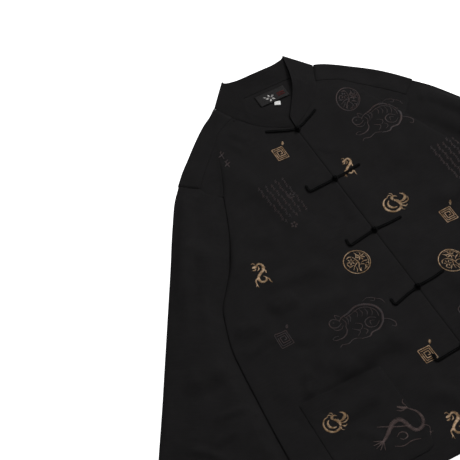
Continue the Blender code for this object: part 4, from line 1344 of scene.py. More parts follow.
def thread_tree():
    """Stitches set side by side along the edges of a mesh.

    Each point of the mesh holds `half_length`, half of its stitch's length, and `facing`, the
    direction out of the cloth there.
    """
    if "thread stitches" in bpy.data.node_groups:
        return bpy.data.node_groups["thread stitches"]
    tree = bpy.data.node_groups.new("thread stitches", "GeometryNodeTree")
    tree.is_modifier = True
    for label, kind in (("Geometry", "Geometry"), ("Pitch", "Float"), ("Thickness", "Float"),
                        ("Slant", "Float"), ("Jitter", "Float"), ("Seed", "Int"),
                        ("Material", "Material")):
        tree.interface.new_socket(label, in_out="INPUT", socket_type=f"NodeSocket{kind}")
    tree.interface.new_socket("Geometry", in_out="OUTPUT", socket_type="NodeSocketGeometry")
    given = tree.nodes.new("NodeGroupInput").outputs
    result = tree.nodes.new("NodeGroupOutput").inputs
    curve = node(tree, "GeometryNodeMeshToCurve", Mesh=given["Geometry"])
    spaced = node(tree, "GeometryNodeResampleCurve", {"mode": "LENGTH"}, Curve=curve.outputs[0],
                  Length=given["Pitch"])
    half = node(tree, "GeometryNodeInputNamedAttribute", {"data_type": "FLOAT"}, Name="half_length")
    facing = node(tree, "GeometryNodeInputNamedAttribute", {"data_type": "FLOAT_VECTOR"}, Name="facing")
    run = node(tree, "GeometryNodeInputTangent")
    ahead = node(tree, "FunctionNodeAlignRotationToVector", {"axis": "X"}, Vector=run.outputs[0])
    level = node(tree, "FunctionNodeAlignRotationToVector", {"axis": "Z", "pivot_axis": "X"},
                 Rotation=ahead.outputs[0], Vector=facing.outputs[0])
    minus = math_of(tree, "MULTIPLY", given["Jitter"], -1.0)
    chance = node(tree, "FunctionNodeRandomValue", {"data_type": "FLOAT"}, n2=minus, n3=given["Jitter"],
                  Seed=given["Seed"])
    lean = math_of(tree, "ADD", given["Slant"], chance.outputs[1])
    turned = node(tree, "ShaderNodeCombineXYZ", Z=lean)
    spin = node(tree, "FunctionNodeEulerToRotation", Euler=turned.outputs[0])
    placed = node(tree, "FunctionNodeRotateRotation", {"rotation_space": "LOCAL"},
                  Rotation=level.outputs[0], Rotate_By=spin.outputs[0])
    thin = math_of(tree, "MULTIPLY", given["Thickness"], 0.5)
    low = math_of(tree, "MULTIPLY", given["Thickness"], 0.38)
    size = node(tree, "ShaderNodeCombineXYZ", X=thin, Y=half.outputs[0], Z=low)
    ball = node(tree, "GeometryNodeMeshUVSphere", Segments=3, Rings=4, Radius=1.0)
    stitch = node(tree, "GeometryNodeTransform", Geometry=ball.outputs[0], Rotation=(math.pi / 2, 0.0, 0.0))
    sewn = node(tree, "GeometryNodeInstanceOnPoints", Points=spaced.outputs[0],
                Instance=stitch.outputs[0], Rotation=placed.outputs[0], Scale=size.outputs[0])
    real = node(tree, "GeometryNodeRealizeInstances", Geometry=sewn.outputs[0])
    smooth = node(tree, "GeometryNodeSetShadeSmooth", Geometry=real.outputs[0])
    painted = node(tree, "GeometryNodeSetMaterial", Geometry=smooth.outputs[0], Material=given["Material"])
    tree.links.new(painted.outputs[0], result[0])
    return tree


def sew(name, strokes, ground, material, pitch, thickness, slant, lift=STITCH_LIFT):
    """Sews strokes, each a run of plan points and half stitch lengths in millimetres."""
    verts, edges, halves, facings = [], [], [], []
    for plan, half in strokes:
        start = len(verts)
        for (x, y), reach in zip(plan, half):
            height, facing = ground.at(x, y)
            verts.append((x * 0.001, (y - MIDDLE_Y) * 0.001, (height + lift) * 0.001))
            halves.append(reach * 0.001)
            facings.append(tuple(facing))
        edges += [(k, k + 1) for k in range(start, len(verts) - 1)]
    mesh_data = bpy.data.meshes.new(name)
    mesh_data.from_pydata(verts, edges, [])
    mesh_data.attributes.new("half_length", "FLOAT", "POINT").data.foreach_set("value", halves)
    mesh_data.attributes.new("facing", "FLOAT_VECTOR", "POINT").data.foreach_set(
        "vector", np.ravel(facings))
    thing = bpy.data.objects.new(name, mesh_data)
    bpy.context.scene.collection.objects.link(thing)
    tree = thread_tree()
    stitches = thing.modifiers.new("stitches", "NODES")
    stitches.node_group = tree
    values = {"Pitch": pitch, "Thickness": thickness, "Slant": slant, "Jitter": STITCH_JITTER,
              "Seed": STITCH_SEED, "Material": material}
    for socket in tree.interface.items_tree:
        if socket.in_out == "INPUT" and socket.name in values:
            stitches[socket.identifier] = values[socket.name]
    graph = bpy.context.evaluated_depsgraph_get()
    plain = bpy.data.meshes.new_from_object(thing.evaluated_get(graph))
    thing.modifiers.clear()
    thing.data = plain
    if not plain.polygons:
        raise RuntimeError(f"{name}: no stitches were made")
    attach(thing, "root")
    return thing


def tapered(line, widths):
    """A line of points with its half widths, given at its start, middle and end."""
    return line, np.interp(np.linspace(0.0, 1.0, len(line)), (0.0, 0.5, 1.0), widths)


def stroke(widths, points):
    """A stroke of a design, through its points."""
    return tapered(along(points, STROKE_STEP), widths)


def drawn(*rows):
    """Strokes from rows of half widths and points."""
    return [stroke(widths, points) for widths, points in rows]


def arc(widths, centre, radius, start, end):
    """A stroke along a circle; angles in degrees."""
    count = max(4, round(abs(math.radians(end - start)) * radius / STROKE_STEP))
    angle = np.radians(np.linspace(start, end, count))[:, None]
    return tapered(np.array(centre) + radius * spokes(angle), widths)


def winding_dragon():
    """A small dragon that winds upward, with its head turned back and its tail curled."""
    return drawn(
        ((1.6, 3.9, 3.2), ((-5, 19), (0, 24.5), (7, 24), (11, 17), (8, 9), (1, 3), (-4.5, -4))),
        ((3.2, 3, 1), ((-4.5, -4), (-4, -12), (2.5, -17), (10, -15), (12, -8), (7, -4))),
        ((2.4, 4.2, 1.6), ((-4, 21), (-9, 17.5), (-13, 17))),
        ((1.2, 2, 0.8), ((-6, 14.5), (-9, 11.5), (-13, 11.5))),
        ((1.2, 1.1, 0.5), ((-6, 24), (-10, 27), (-14, 25))),
        ((0.8, 1.5, 0.5), ((0, 20), (1, 14), (-3, 10))),
        ((1.8, 1.5, 1), ((9, 12), (14, 8), (14, 3))),
        ((2.4, 1.9, 1.1), ((-6, -6), (-12, -12), (-11, -20))),
        ((1, 0.9, 0.5), ((-11, -20), (-14, -25))),
        ((1, 0.9, 0.5), ((-11, -20), (-9, -27))),
        ((2, 1.6, 0.9), ((10, -10), (16, -12), (18, -19))),
        ((1, 0.9, 0.5), ((18, -19), (21, -23))),
    )


def ring_phoenix():
    """A phoenix with one wing raised, whose tail sweeps round below it in a ring."""
    return [
        arc((0.7, 2.2, 1.6), (-4, -3), 17, 105, 322),
        arc((0.8, 2.5, 1), (-3, -2), 9.4, 125, 300),
    ] + drawn(
        ((1.6, 3.6, 1.8), ((1, 5), (6, 2), (10, -4), (10, -10))),
        ((2.2, 2.6, 1.6), ((0, 7), (-2, 11), (2, 14))),
        ((1.5, 1.1, 0.3), ((2, 14), (6, 13.5), (9, 11))),
        ((0.6, 0.9, 0.4), ((0, 15), (-5, 17), (-9, 15))),
        ((0.6, 0.9, 0.4), ((2, 16), (1, 19.5), (-3, 21))),
        ((1, 3.2, 0.8), ((10, -1), (18, 1), (23.5, 7), (22, 14), (16, 17))),
        ((0.7, 1.4, 0.5), ((12, -5), (20, -5), (27, 0), (28, 7))),
        ((0.6, 0.9, 0.4), ((8, -11), (4, -16), (-1, -17))),
        ((0.6, 0.9, 0.4), ((10, -12), (10, -18), (14, -20))),
        ((0.6, 1.5, 0.5), ((12, -10), (18, -13), (22, -10))),
    )


def petals(centre, radius, count, first, width):
    """A blossom: short strokes round a centre."""
    turns = spokes(first + math.tau * np.arange(count)[:, None] / count)
    return [stroke((0.3, width, 0.4), (centre + 0.28 * radius * turn, centre + radius * turn))
            for turn in turns]


def medallion():
    """A ring round two blossoms on one bent stem."""
    strokes = [
        arc((0.85, 0.85, 0.85), (0, 0), 22.6, 0, 360),
        arc((0.3, 0.6, 0.3), (0, 0), 19.8, -70, 60),
    ]
    strokes += drawn(
        ((0.7, 0.9, 0.6), ((-4, -18), (-2, -10), (2, -3), (1, 4), (-2, 12))),
        ((0.5, 0.7, 0.4), ((0, -6), (6, -8), (12, -14))),
        ((0.5, 0.7, 0.4), ((1, -1), (-7, -5), (-13, -11))),
        ((0.3, 1.2, 0.3), ((2, 7), (6, 13), (5, 18))),
        ((0.3, 1.2, 0.3), ((-3, 13), (-8, 15), (-12, 13))),
        ((0.3, 1.1, 0.3), ((17, -6), (11, -4), (6, -5))),
        ((0.3, 1.1, 0.3), ((-18, -4), (-12, -3), (-8, -3))),
        ((0.3, 1, 0.3), ((3, -19), (8, -16), (9, -11))),
        ((0.3, 1, 0.3), ((-10, -17), (-7, -13), (-6, -8))),
        ((0.3, 0.9, 0.3), ((-16, 6), (-17, 0), (-14, -2))),
        ((0.3, 0.9, 0.3), ((0, -13), (-3, -17), (-2, -20))),
        ((0.3, 0.9, 0.3), ((12, -9), (16, -11), (15, -15))),
    )
    strokes += petals((10.5, 6), 7.4, 7, 0.3, 1.3) + petals((10.5, 6), 3.2, 5, 0.9, 0.8)
    return strokes + petals((-8.5, 5), 6.4, 6, 1, 1.2) + petals((0, -1), 3.6, 4, 0.4, 0.8)


def fret_seal():
    """An upright seal filled with a close key pattern, and a small oval mark beside it."""
    half = ((-8, 9.4), (8, 9.4), (8, -5.6), (-4.4, -5.6), (-4.4, 5.6), (4.4, 5.6), (4.4, -1.4), (0, -1.4))
    strokes = [straight(0.9, ((-11, -13), (11, -13), (11, 13), (-11, 13), (-11, -13))),
               straight(0.95, half), straight(0.9, ((-8, 5.8), (-8, -9.4), (8, -9.4)))]
    return strokes + [stroke((1.2, 3, 1.2), ((14.5, 15.5), (18, 22)))]


def straight(width, points):
    """A stroke of one width that keeps its corners."""
    line = np.vstack([along((a, b), STROKE_STEP)[:-1] for a, b in zip(points, points[1:])]
                     + [np.array(points[-1:], float)])
    return line, np.full(len(line), width)


def crouching_beast():
    """A lion-like beast in outline, crouched with its head raised."""
    strokes = drawn(
        ((0.9, 2, 1.9), ((-36, 18), (-28, 24), (-14, 27), (2, 33), (20, 30), (34, 18), (37, -2),
                           (30, -18))),
        ((1.9, 1.5, 0.8), ((30, -18), (18, -27), (4, -28), (-4, -34), (-18, -31))),
        ((0.4, 0.8, 0.5), ((-22, 20), (-6, 24), (10, 27), (24, 21), (31, 9), (30, -4))),
        ((0.5, 1, 0.5), ((25, -4), (15, 3), (4, -2), (5, -14), (16, -19), (26, -13))),
        ((0.4, 0.8, 0.4), ((20, -7), (13, -4), (11, -12))),
        ((0.6, 1.1, 0.6), ((-34, 20), (-44, 27), (-53, 23), (-53, 13), (-43, 9), (-34, 14))),
        ((0.4, 0.8, 0.4), ((-53, 13), (-49, 5), (-40, 3), (-33, 8))),
        ((0.4, 0.8, 0.4), ((-38, 25), (-37, 33), (-30, 27))),
        ((0.9, 0.9, 0.3), ((-47, 20), (-44, 20))),
        ((0.7, 1.1, 0.7), ((-30, 6), (-33, -6), (-44, -13), (-57, -13))),
        ((0.4, 0.7, 0.4), ((-57, -13), (-62, -9), (-57, -6), (-50, -7))),
        ((0.5, 0.9, 0.5), ((-18, -29), (-30, -24), (-42, -28), (-53, -25), (-58, -29))),
        ((0.5, 1.1, 0.5), ((35, -14), (43, -20), (49, -29), (45, -37), (40, -33))),
        ((0.3, 0.7, 0.4), ((20, 37), (31, 40), (42, 34), (39, 29), (34, 32))),
        ((0.3, 0.7, 0.4), ((42, 34), (51, 26), (53, 16))),
        ((0.3, 0.7, 0.3), ((-12, 4), (-3, -3), (-7, -11), (-15, -10))),
        ((0.3, 0.7, 0.3), ((-22, -4), (-12, -14), (-20, -22))),
        ((0.3, 0.7, 0.3), ((-4, -12), (0, -20), (-7, -26))),
    )
    mane = [((0.3, 0.8, 0.3), ((-29 + 6 * k, 21 + 3 * k), (-26 + 6 * k, 12 + 3 * k),
                               (-30 + 6 * k, 4 + 3 * k))) for k in range(3)]
    flank = [((0.3, 0.7, 0.3), ((-2 + 9 * k, 28 - 3 * k), (1 + 8 * k, 20 - 3 * k),
                                (-3 + 8 * k, 13 - 3 * k))) for k in range(4)]
    return strokes + drawn(*mane, *flank)


def cloud_dragon():
    """A larger dragon that arches over a cloud, with one foot spread."""
    strokes = drawn(
        ((2.2, 4.4, 3.4), ((-35, -10), (-24, -3), (-13, 5), (-3, 11), (7, 11), (12, 4), (14, -7))),
        ((3.4, 3.2, 1), ((14, -7), (20, -18), (33, -17), (41, -4), (39, 10), (30, 20))),
        ((2.4, 2.8, 1.2), ((30, 22), (23, 25), (17, 31))),
        ((0.6, 1.3, 0.4), ((24, 21), (18, 22), (13, 26))),
        ((0.4, 1, 0.4), ((30, 26), (28, 33), (32, 38))),
        ((0.5, 1.3, 0.6), ((-30, 17), (-18, 11), (-4, 3), (8, -3), (18, -6))),
        ((0.9, 0.9, 0.4), ((34, -12), (42, -22), (38, -30))),
        ((0.6, 1.3, 0.6), ((-12, -13), (-4, -9), (3, -13), (3, -20), (-5, -22), (-9, -18))),
        ((0.5, 1.1, 0.5), ((-24, -25), (-12, -31), (4, -30), (18, -34))),
    )
    tips = (-36, -10) + (16, 14) * spokes(np.radians(145 + 27 * np.arange(5))[:, None])
    foot = [((1.3, 1, 0.4), ((-35, -10), tip)) for tip in tips]
    claws = [((0.6, 0.5, 0.3), ((38, -30), (35 + 4 * k, -36 + 2 * k))) for k in range(3)]
    return strokes + drawn(*foot, *claws)


def sprig(x, y, lean):
    """A short bamboo joint with three leaves."""
    return drawn(
        ((0.6, 0.5, 0.6), ((x, y - 3.4), (x + 0.4 * lean, y + 3.4))),
        ((0.3, 0.9, 0.3), ((x, y), (x + 2.9, y + 1.2 + lean))),
        ((0.3, 0.9, 0.3), ((x, y + 0.4), (x - 2.9, y - 1 + lean))),
        ((0.3, 0.8, 0.3), ((x + 0.2, y + 2.4), (x + 2.2 - lean, y + 4.2))),
    )


def bamboo_rows():
    """A block of bamboo sprigs, in close upright rows, with two blossoms at its edge."""
    strokes = []
    for row in range(5):
        top, low = 43 - 2.5 * (row % 3), -41 + 3.5 * (row % 2)
        count = round((top - low) / 7.2)
        for k in range(count):
            lean = math.sin(2.4 * k + 1.7 * row)
            strokes += sprig(-19 + 11.6 * row + 1.2 * lean, top - 7.2 * k, lean)
    return strokes + petals((20, 4), 6.6, 6, 0.2, 2.2) + petals((-11, -50), 6.4, 5, 0.9, 3)


def small_sprigs():
    """Two bamboo sprigs, one above the other."""
    return [(line * 1.7, half * 1.4) for line, half in sprig(0, 5, 0.6) + sprig(-0.6, -5, -0.4)]


def place_design(design, x, y, wide, high, turn, weight):
    """Design's strokes on the plan: scaled, mirrored if `wide` is below 0, turned and moved.

    `weight` makes every stroke bolder.
    """
    return [(rotated(line * (wide, high), math.radians(turn)) + (x, y), half * high * weight)
            for line, half in design()]


def make_embroidery(thread, ground):
    """Every motif, with its threads in one object for each colour and side."""
    dyes = {
        # The gold's second colour is a darker copy of it: painted shade in patches.
        "gold": thread_material("gold thread", thread.gold, thread.gold_painted_shade, 0.42, 0.35),
        "dark": thread_material("brown thread", thread.brown, thread.mauve, 0.55, 0.2),
        "rose": thread_material("rose thread", thread.rose, thread.brown, 0.5, 0.25),
    }
    for dye, material in dyes.items():
        for side, word in SIDES.items():
            strokes = []
            for design, colour, *placed in MOTIFS:
                if colour == dye and placed[0] * side > 0:
                    strokes += place_design(design, *placed)
            sew(f"thread_{dye}_{word}", strokes, ground, material, thread.pitch, thread.thickness,
                thread.slant)


def make_label_weave(thread, ground):
    """A white blossom and a red-brown bar woven into the neck label."""
    x, y = LABEL_CENTRE
    blossom = petals((x - 4.5, y - 2.5), 8.6, 5, 0.5, 3.0) + [
        stroke((0.4, 1.4, 0.4), ((x - 16.0, y + 4.5), (x - 11.0, y + 1.0)))]
    bar = [straight(1.9, ((x + 10.5, y + k), (x + 24.5, y + k))) for k in (-4.2, 0.8)]
    for name, strokes, colour in (("blossom", blossom, thread.white), ("bar", bar, thread.red)):
        dye = thread_material(f"{name} yarn", colour, [0.8 * c for c in colour], 0.6, 0.1)
        piece = sew(f"label_{name}", strokes, ground, dye, LABEL_YARN, LABEL_YARN, 0.0, 0.06)


def stitch_lines():
    """Runs of top stitching in plan millimetres: hems, cuffs and pockets on both sides."""
    lines = []
    x = np.arange(2.0, HALF_BACK - 1.0, 2.5)
    hem_run = np.column_stack((x, hem_line(x) + HEM_STITCH))
    pocket = inset(POCKET_LOOP, POCKET_STITCH)
    sewn = np.vstack((pocket[MOUTH_POINTS:], pocket[:1]))
    y = POCKET_MOUTH[1] - MOUTH_STITCH
    x = np.linspace(-1.0, 1.0, 60) * (POCKET_HALF[0] - POCKET_STITCH - 0.8) + POCKET_MOUTH[0]
    mouth = np.column_stack((x, np.full(len(x), y)))
    outer, inner = sleeve_sides(SLEEVE_LENGTH - CUFF_STITCH)
    across = np.arange(outer + 3.0, inner - 3.0, 2.5)
    cuff = SLEEVE_START + (SLEEVE_LENGTH - CUFF_STITCH) * SLEEVE_RUN + across[:, None] * SLEEVE_IN
    for side in SIDES:
        lines += [mirrored(line, side) for line in (hem_run, sewn, mouth, cuff)]
    return lines


def make_stitching(thread, ground):
    """Black top stitching."""
    dye = thread_material("black thread", thread.black, thread.black, 0.5, 0.2)
    half, thickness = TOP_STITCH
    strokes = [(line, np.full(len(line), half)) for line in stitch_lines()]
    sew("thread_black", strokes, ground, dye, thread.stitch, thickness, math.pi / 2, 0.0)


# ---- stage


def make_stage(stage):
    """White table, a main light beyond the left shoulder, a fill light above, and the camera."""
    scene = bpy.context.scene
    bpy.ops.mesh.primitive_plane_add(size=stage.table)
    floor = bpy.context.active_object
    floor.name = "floor"
    made, tree, shader = new_material("white table", roughness=0.9, specular=0.0)
    shader["Base Color"].default_value = (0.8, 0.8, 0.8, 1.0)
    shader["Emission Color"].default_value = (1.0, 1.0, 1.0, 1.0)
    seen = node(tree, "ShaderNodeLightPath").outputs["Is Camera Ray"]
    glow = math_of(tree, "MULTIPLY", seen, stage.table_glow)
    tree.links.new(glow, shader["Emission Strength"])
    floor.data.materials.append(made)
    for name, where, size, power in (("main light", stage.main_place, stage.main_size, stage.main_power),
                                     ("fill light", stage.fill_place, stage.fill_size, stage.fill_power)):
        lamp = bpy.data.lights.new(name, "AREA")
        lamp.shape = "DISK"
        lamp.size = size
        lamp.energy = power
        light = bpy.data.objects.new(name, lamp)
        light.location = where
        light.rotation_mode = "QUATERNION"
        light.rotation_quaternion = (-Vector(where)).to_track_quat("-Z", "Y")
        scene.collection.objects.link(light)
    world_light = bpy.data.worlds.new("soft room")
    world_light.use_nodes = True
    background = world_light.node_tree.nodes["Background"]
    background.inputs["Color"].default_value = (1.0, 1.0, 1.0, 1.0)
    background.inputs["Strength"].default_value = stage.room
    scene.world = world_light
    lens = bpy.data.cameras.new("camera")
    lens.lens = stage.lens
    lens.sensor_width = 36.0
    camera = bpy.data.objects.new("camera", lens)
    turn, rise = stage.camera_turn, stage.camera_rise
    back = Vector((math.sin(turn) * math.cos(rise), -math.cos(turn) * math.cos(rise), math.sin(rise)))
    camera.location = Vector((*stage.camera_target, 0.0)) + back * stage.camera_distance
    camera.rotation_mode = "QUATERNION"
    camera.rotation_quaternion = (-back).to_track_quat("-Z", "Y")
    scene.collection.objects.link(camera)
    scene.camera = camera
    scene.view_settings.view_transform = "Standard"


# Embroidered motifs: design, thread, x and y of its middle, its scale across (below 0 to mirror it)
# and up, turn in degrees, and how bold its strokes are.
MOTIFS = (
    (fret_seal, "gold", -54, 95.5, 0.95, 0.98, 0, 1),
    (bamboo_rows, "dark", -105.5, 1.5, 1.02, 1, 4, 0.9),
    (small_sprigs, "dark", -146, 131, 1.3, 1.3, 0, 1.25),
    (winding_dragon, "gold", -215, -108, 0.78, 0.86, -18, 1),
    (medallion, "gold", -60, -164, 1, 1, 0, 1.1),
    (fret_seal, "dark", -244.5, -234.5, 1, 1, 0, 1),
    (crouching_beast, "dark", -116, -268, 0.95, 0.92, -3, 1.3),
    (ring_phoenix, "gold", -254.5, -402, 0.84, 0.8, -14, 1.25),
    (cloud_dragon, "rose", -170.5, -458.5, 1, 1, 0, 1.1),
    (fret_seal, "gold", -58, -372, 1, 1, 0, 1),
    (winding_dragon, "gold", -92, -498, 0.78, 0.86, -18, 1),
    (medallion, "dark", 114.5, 140, 0.94, 1.17, -30, 1.35),
    (crouching_beast, "dark", 145, 72, 0.95, 0.92, -3, 1.3),
    (winding_dragon, "gold", 33.5, 11.5, 0.6, 0.76, -22, 1),
    (ring_phoenix, "gold", 62, -92, 0.94, 0.92, -14, 1.25),
    (bamboo_rows, "dark", 204, -70, 1, 1, 4, 1.25),
    (fret_seal, "gold", 128, -160, 1, 1, 0, 1),
    (cloud_dragon, "rose", 246, -205, -1, 1, 0, 1.1),
    (medallion, "gold", 78, -242, 1, 1, 40, 1.1),
    (winding_dragon, "gold", 178, -300, -0.78, 0.86, 18, 1),
    (crouching_beast, "dark", 80, -348, 0.9, 0.88, -3, 1.3),
    (ring_phoenix, "gold", 244, -420, -0.84, 0.8, 14, 1.25),
    (fret_seal, "dark", 176, -476, 1, 1, 0, 1.15),
    (medallion, "dark", 62, -468, 0.94, 1.1, -30, 1.35),
    (small_sprigs, "dark", 318, -352, 1.3, 1.3, 0, 1.25),
)
CLOTH_PIECES = ("cloth_back", "cloth_sleeve_right", "cloth_sleeve_left", "cloth_front_right",
                "cloth_front_left", "cloth_pocket_right", "cloth_pocket_left", "cloth_collar")

# ---- settings
COLOUR = {"subtype": "COLOR", "size": 3, "min": 0.0, "max": 1.0}
THIN = {"unit": "LENGTH", "precision": 5, "min": 0.0002, "max": 0.02}


class ClothSettings(PropertyGroup):
    """Black cloth of every cut piece."""

    colour: FloatVectorProperty(
        name="Cloth colour", description="Base colour of the black twill",
        default=(0.0150, 0.0143, 0.0147), **COLOUR)
    wall: FloatProperty(name="Wall", description="Thickness of the cloth", default=WALL * 0.001, **THIN)
    grid: FloatProperty(name="Grid", description="Spacing of a front's points", default=GRID * 0.001, **THIN)
    twill_pitch: FloatProperty(
        name="Twill pitch", default=0.0009, **THIN,
        description="Distance between the twill's slanting ribs")
    relief: FloatProperty(
        name="Relief", description="How strongly the threads stand out", default=0.45, min=0.0, max=1.0)
    mottling: FloatProperty(
        name="Mottling", description="Slow change of tone across the cloth", default=0.5, min=0.0,
        max=1.0)


class CordSettings(PropertyGroup):
    """Black cord of the fastenings."""

    colour: FloatVectorProperty(
        name="Cord colour", description="Base colour of the satin cord",
        default=(0.0012, 0.0012, 0.0014), **COLOUR)
    rib_pitch: FloatProperty(
        name="Rib pitch", default=0.0011, **THIN,
        description="Distance between the cord's slanting ribs")


class ThreadSettings(PropertyGroup):
    """Embroidery and sewing threads."""

    gold: FloatVectorProperty(name="Gold", description="Gold thread", default=(0.74, 0.53, 0.34), **COLOUR)
    # A darker copy of the gold, mixed in patches as painted shade.
    gold_painted_shade: FloatVectorProperty(
        name="Gold shade", description="Duller lot of the gold thread", default=(0.36, 0.215, 0.10),
        **COLOUR)
    brown: FloatVectorProperty(
        name="Brown", description="Dark brown thread", default=(0.088, 0.060, 0.058), **COLOUR)
    mauve: FloatVectorProperty(
        name="Mauve", description="Greyer lot of the dark thread", default=(0.075, 0.066, 0.070),
        **COLOUR)
    rose: FloatVectorProperty(
        name="Rose", description="Paler brown thread", default=(0.150, 0.105, 0.098), **COLOUR)
    white: FloatVectorProperty(
        name="White", description="White yarn of the label", default=(0.86, 0.84, 0.82), **COLOUR)
    red: FloatVectorProperty(
        name="Red", description="Red-brown yarn of the label", default=(0.13, 0.020, 0.018), **COLOUR)
    black: FloatVectorProperty(
        name="Black", description="Sewing thread", default=(0.006, 0.006, 0.0065), **COLOUR)
    pitch: FloatProperty(
        name="Satin pitch", description="Distance between satin stitches", default=0.00055, **THIN)
    thickness: FloatProperty(
        name="Thickness", description="Thickness of a satin stitch", default=0.0006, **THIN)
    slant: FloatProperty(
        name="Slant", subtype="ANGLE", default=math.radians(14.0),
        description="Turn of a satin stitch from square across its stroke")
    stitch: FloatProperty(name="Stitch", description="Distance between top stitches", default=0.003, **THIN)


class LabelSettings(PropertyGroup):
    """Neck label and its blank size tab."""

    label: FloatVectorProperty(
        name="Label", description="Colour of the woven label", default=(0.0088, 0.0078, 0.0080),
        **COLOUR)
    tab: FloatVectorProperty(
        name="Size tab", description="Colour of the blank tab", default=(0.82, 0.82, 0.81), **COLOUR)


class StageSettings(PropertyGroup):
    """Table, lights and camera."""

    table: FloatProperty(name="Table", description="Side of the white table", default=12.0, unit="LENGTH")
    table_glow: FloatProperty(
        name="Table glow", default=1.0, min=0.0, max=3.0,
        description="Table's own light, so that no shadow shows on it")
    room: FloatProperty(
        name="Room light", description="Even light from all round", default=0.2, min=0.0, max=3.0)
    main_place: FloatVectorProperty(
        name="Main light", description="Where the main light stands", subtype="XYZ", unit="LENGTH",
        default=(3.4, 2.9, 3.8))
    main_size: FloatProperty(
        name="Main light size", description="Diameter of the main light", default=1.8, unit="LENGTH")
    main_power: FloatProperty(
        name="Main light power", description="Watts of the main light", default=200.0, unit="POWER")
    fill_place: FloatVectorProperty(
        name="Fill light", description="Where the fill light stands", subtype="XYZ", unit="LENGTH",
        default=(0.0, 0.1, 1.8))
    fill_size: FloatProperty(
        name="Fill light size", description="Diameter of the fill light", default=0.8, unit="LENGTH")
    fill_power: FloatProperty(
        name="Fill light power", description="Watts of the fill light", default=5.8, unit="POWER")
    lens: FloatProperty(
        name="Lens", description="Focal length, on a sensor 36 mm wide", default=119.7, unit="CAMERA")
    camera_turn: FloatProperty(
        name="Camera turn", subtype="ANGLE", default=math.radians(-29.82),
        description="Direction from which the camera looks")
    camera_rise: FloatProperty(
        name="Camera rise", subtype="ANGLE", default=math.radians(55.0),
        description="Angle of the camera above the table")
    camera_distance: FloatProperty(
        name="Camera distance", default=2.6, unit="LENGTH",
        description="Distance to the point in the picture's middle")
    camera_target: FloatVectorProperty(
        name="Camera target", size=2, unit="LENGTH", default=(-0.21075, 0.13175),
        description="Point of the table in the picture's middle")


# ---- operators


class JACKET_OT_back(Operator):
    """Back panel, with its strip over each shoulder"""

    bl_idname = "jacket.back"
    bl_label = "Add back"

    def execute(self, context):
        make_back(context.scene.jacket_cloth)
        return {"FINISHED"}


class JACKET_OT_sleeves(Operator):
    """Both sleeves, as tubes laid flat"""

    bl_idname = "jacket.sleeves"
    bl_label = "Add sleeves"

    def execute(self, context):
        for side in SIDES:
            make_sleeve(side, context.scene.jacket_cloth)
        return {"FINISHED"}


class JACKET_OT_fronts(Operator):
    """Both fronts, with their creases"""

    bl_idname = "jacket.fronts"
    bl_label = "Add fronts"

    def execute(self, context):
        for side in SIDES:
            make_front(side, context.scene.jacket_cloth)
        return {"FINISHED"}


class JACKET_OT_pockets(Operator):
    """Patch pockets on the fronts"""

    bl_idname = "jacket.pockets"
    bl_label = "Add pockets"

    def execute(self, context):
        for side in SIDES:
            make_pocket(side, context.scene.jacket_cloth)
        return {"FINISHED"}


class JACKET_OT_collar(Operator):
    """Stand collar, folded flat at each side"""

    bl_idname = "jacket.collar"
    bl_label = "Add collar"

    def execute(self, context):
        make_collar()
        return {"FINISHED"}


class JACKET_OT_frogs(Operator):
    """Knot, loop and strip of each fastening"""

    bl_idname = "jacket.frogs"
    bl_label = "Add fastenings"

    def execute(self, context):
        ground = Ground(CLOTH_PIECES)
        for number, row in enumerate(FROGS, start=1):
            make_frog(number, *row, ground)
        return {"FINISHED"}


class JACKET_OT_labels(Operator):
    """Neck label with its woven design, and the blank size tab"""

    bl_idname = "jacket.labels"
    bl_label = "Add labels"

    def execute(self, context):
        colours = context.scene.jacket_label
        ground = Ground(["cloth_back"])
        make_tag("woven_label", "label", LABEL_SIZE, LABEL_CENTRE, 0.0, LABEL_CURL,
                 label_material("label cloth", colours.label), ground)
        make_tag("blank_size_tab", "size_tab", TAB_SIZE, TAB_CENTRE, TAB_TURN, TAB_CURL,
                 label_material("size tab cloth", colours.tab), ground)
        make_label_weave(context.scene.jacket_thread, Ground(["woven_label"]))
        return {"FINISHED"}


class JACKET_OT_embroidery(Operator):
    """Gold and dark motifs on the fronts and pockets"""

    bl_idname = "jacket.embroidery"
    bl_label = "Add embroidery"

    def execute(self, context):
        make_embroidery(context.scene.jacket_thread, Ground(CLOTH_PIECES))
        return {"FINISHED"}


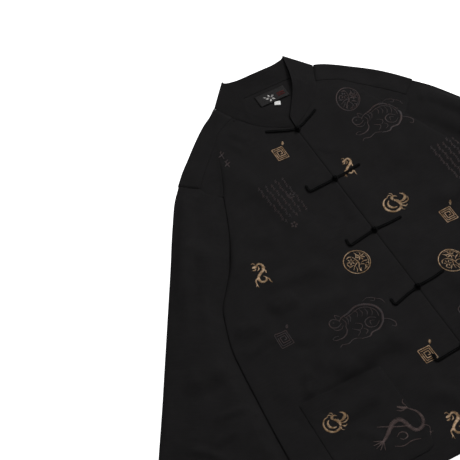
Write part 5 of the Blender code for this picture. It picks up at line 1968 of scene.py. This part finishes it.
class JACKET_OT_stitching(Operator):
    """Top stitching on hems, cuffs and pockets"""

    bl_idname = "jacket.stitching"
    bl_label = "Add top stitching"

    def execute(self, context):
        make_stitching(context.scene.jacket_thread, Ground(CLOTH_PIECES))
        return {"FINISHED"}


class JACKET_OT_stage(Operator):
    """Table, lights and camera"""

    bl_idname = "jacket.stage"
    bl_label = "Add stage"

    def execute(self, context):
        make_stage(context.scene.jacket_stage)
        return {"FINISHED"}


STEPS = (JACKET_OT_back, JACKET_OT_sleeves, JACKET_OT_fronts, JACKET_OT_pockets, JACKET_OT_collar,
         JACKET_OT_frogs, JACKET_OT_labels, JACKET_OT_embroidery, JACKET_OT_stitching, JACKET_OT_stage)


class JACKET_PT_sidebar(Panel):
    """The jacket's settings and steps"""

    bl_label = "Tang jacket"
    bl_idname = "JACKET_PT_sidebar"
    bl_space_type = "VIEW_3D"
    bl_region_type = "UI"
    bl_category = "Jacket"

    def draw(self, context):
        for name in SETTINGS:
            box = self.layout.box()
            group = getattr(context.scene, name)
            for field in group.bl_rna.properties:
                if field.identifier not in ("rna_type", "name"):
                    box.prop(group, field.identifier)
        for step in STEPS:
            self.layout.operator(step.bl_idname)


SETTINGS = {
    "jacket_cloth": ClothSettings, "jacket_cord": CordSettings, "jacket_thread": ThreadSettings,
    "jacket_label": LabelSettings, "jacket_stage": StageSettings,
}


def register():
    """Adds the classes, and each group of settings to the scene."""
    for kind in (*SETTINGS.values(), *STEPS, JACKET_PT_sidebar):
        bpy.utils.register_class(kind)
    for name, kind in SETTINGS.items():
        setattr(bpy.types.Scene, name, PointerProperty(type=kind))


def unregister():
    """Takes them away again."""
    for name in SETTINGS:
        delattr(bpy.types.Scene, name)
    for kind in (JACKET_PT_sidebar, *STEPS, *SETTINGS.values()):
        bpy.utils.unregister_class(kind)


def main():
    """Runs every step in order."""
    register()
    for step in STEPS:
        area, name = step.bl_idname.split(".")
        getattr(getattr(bpy.ops, area), name)()


if __name__ == "__main__":
    main()
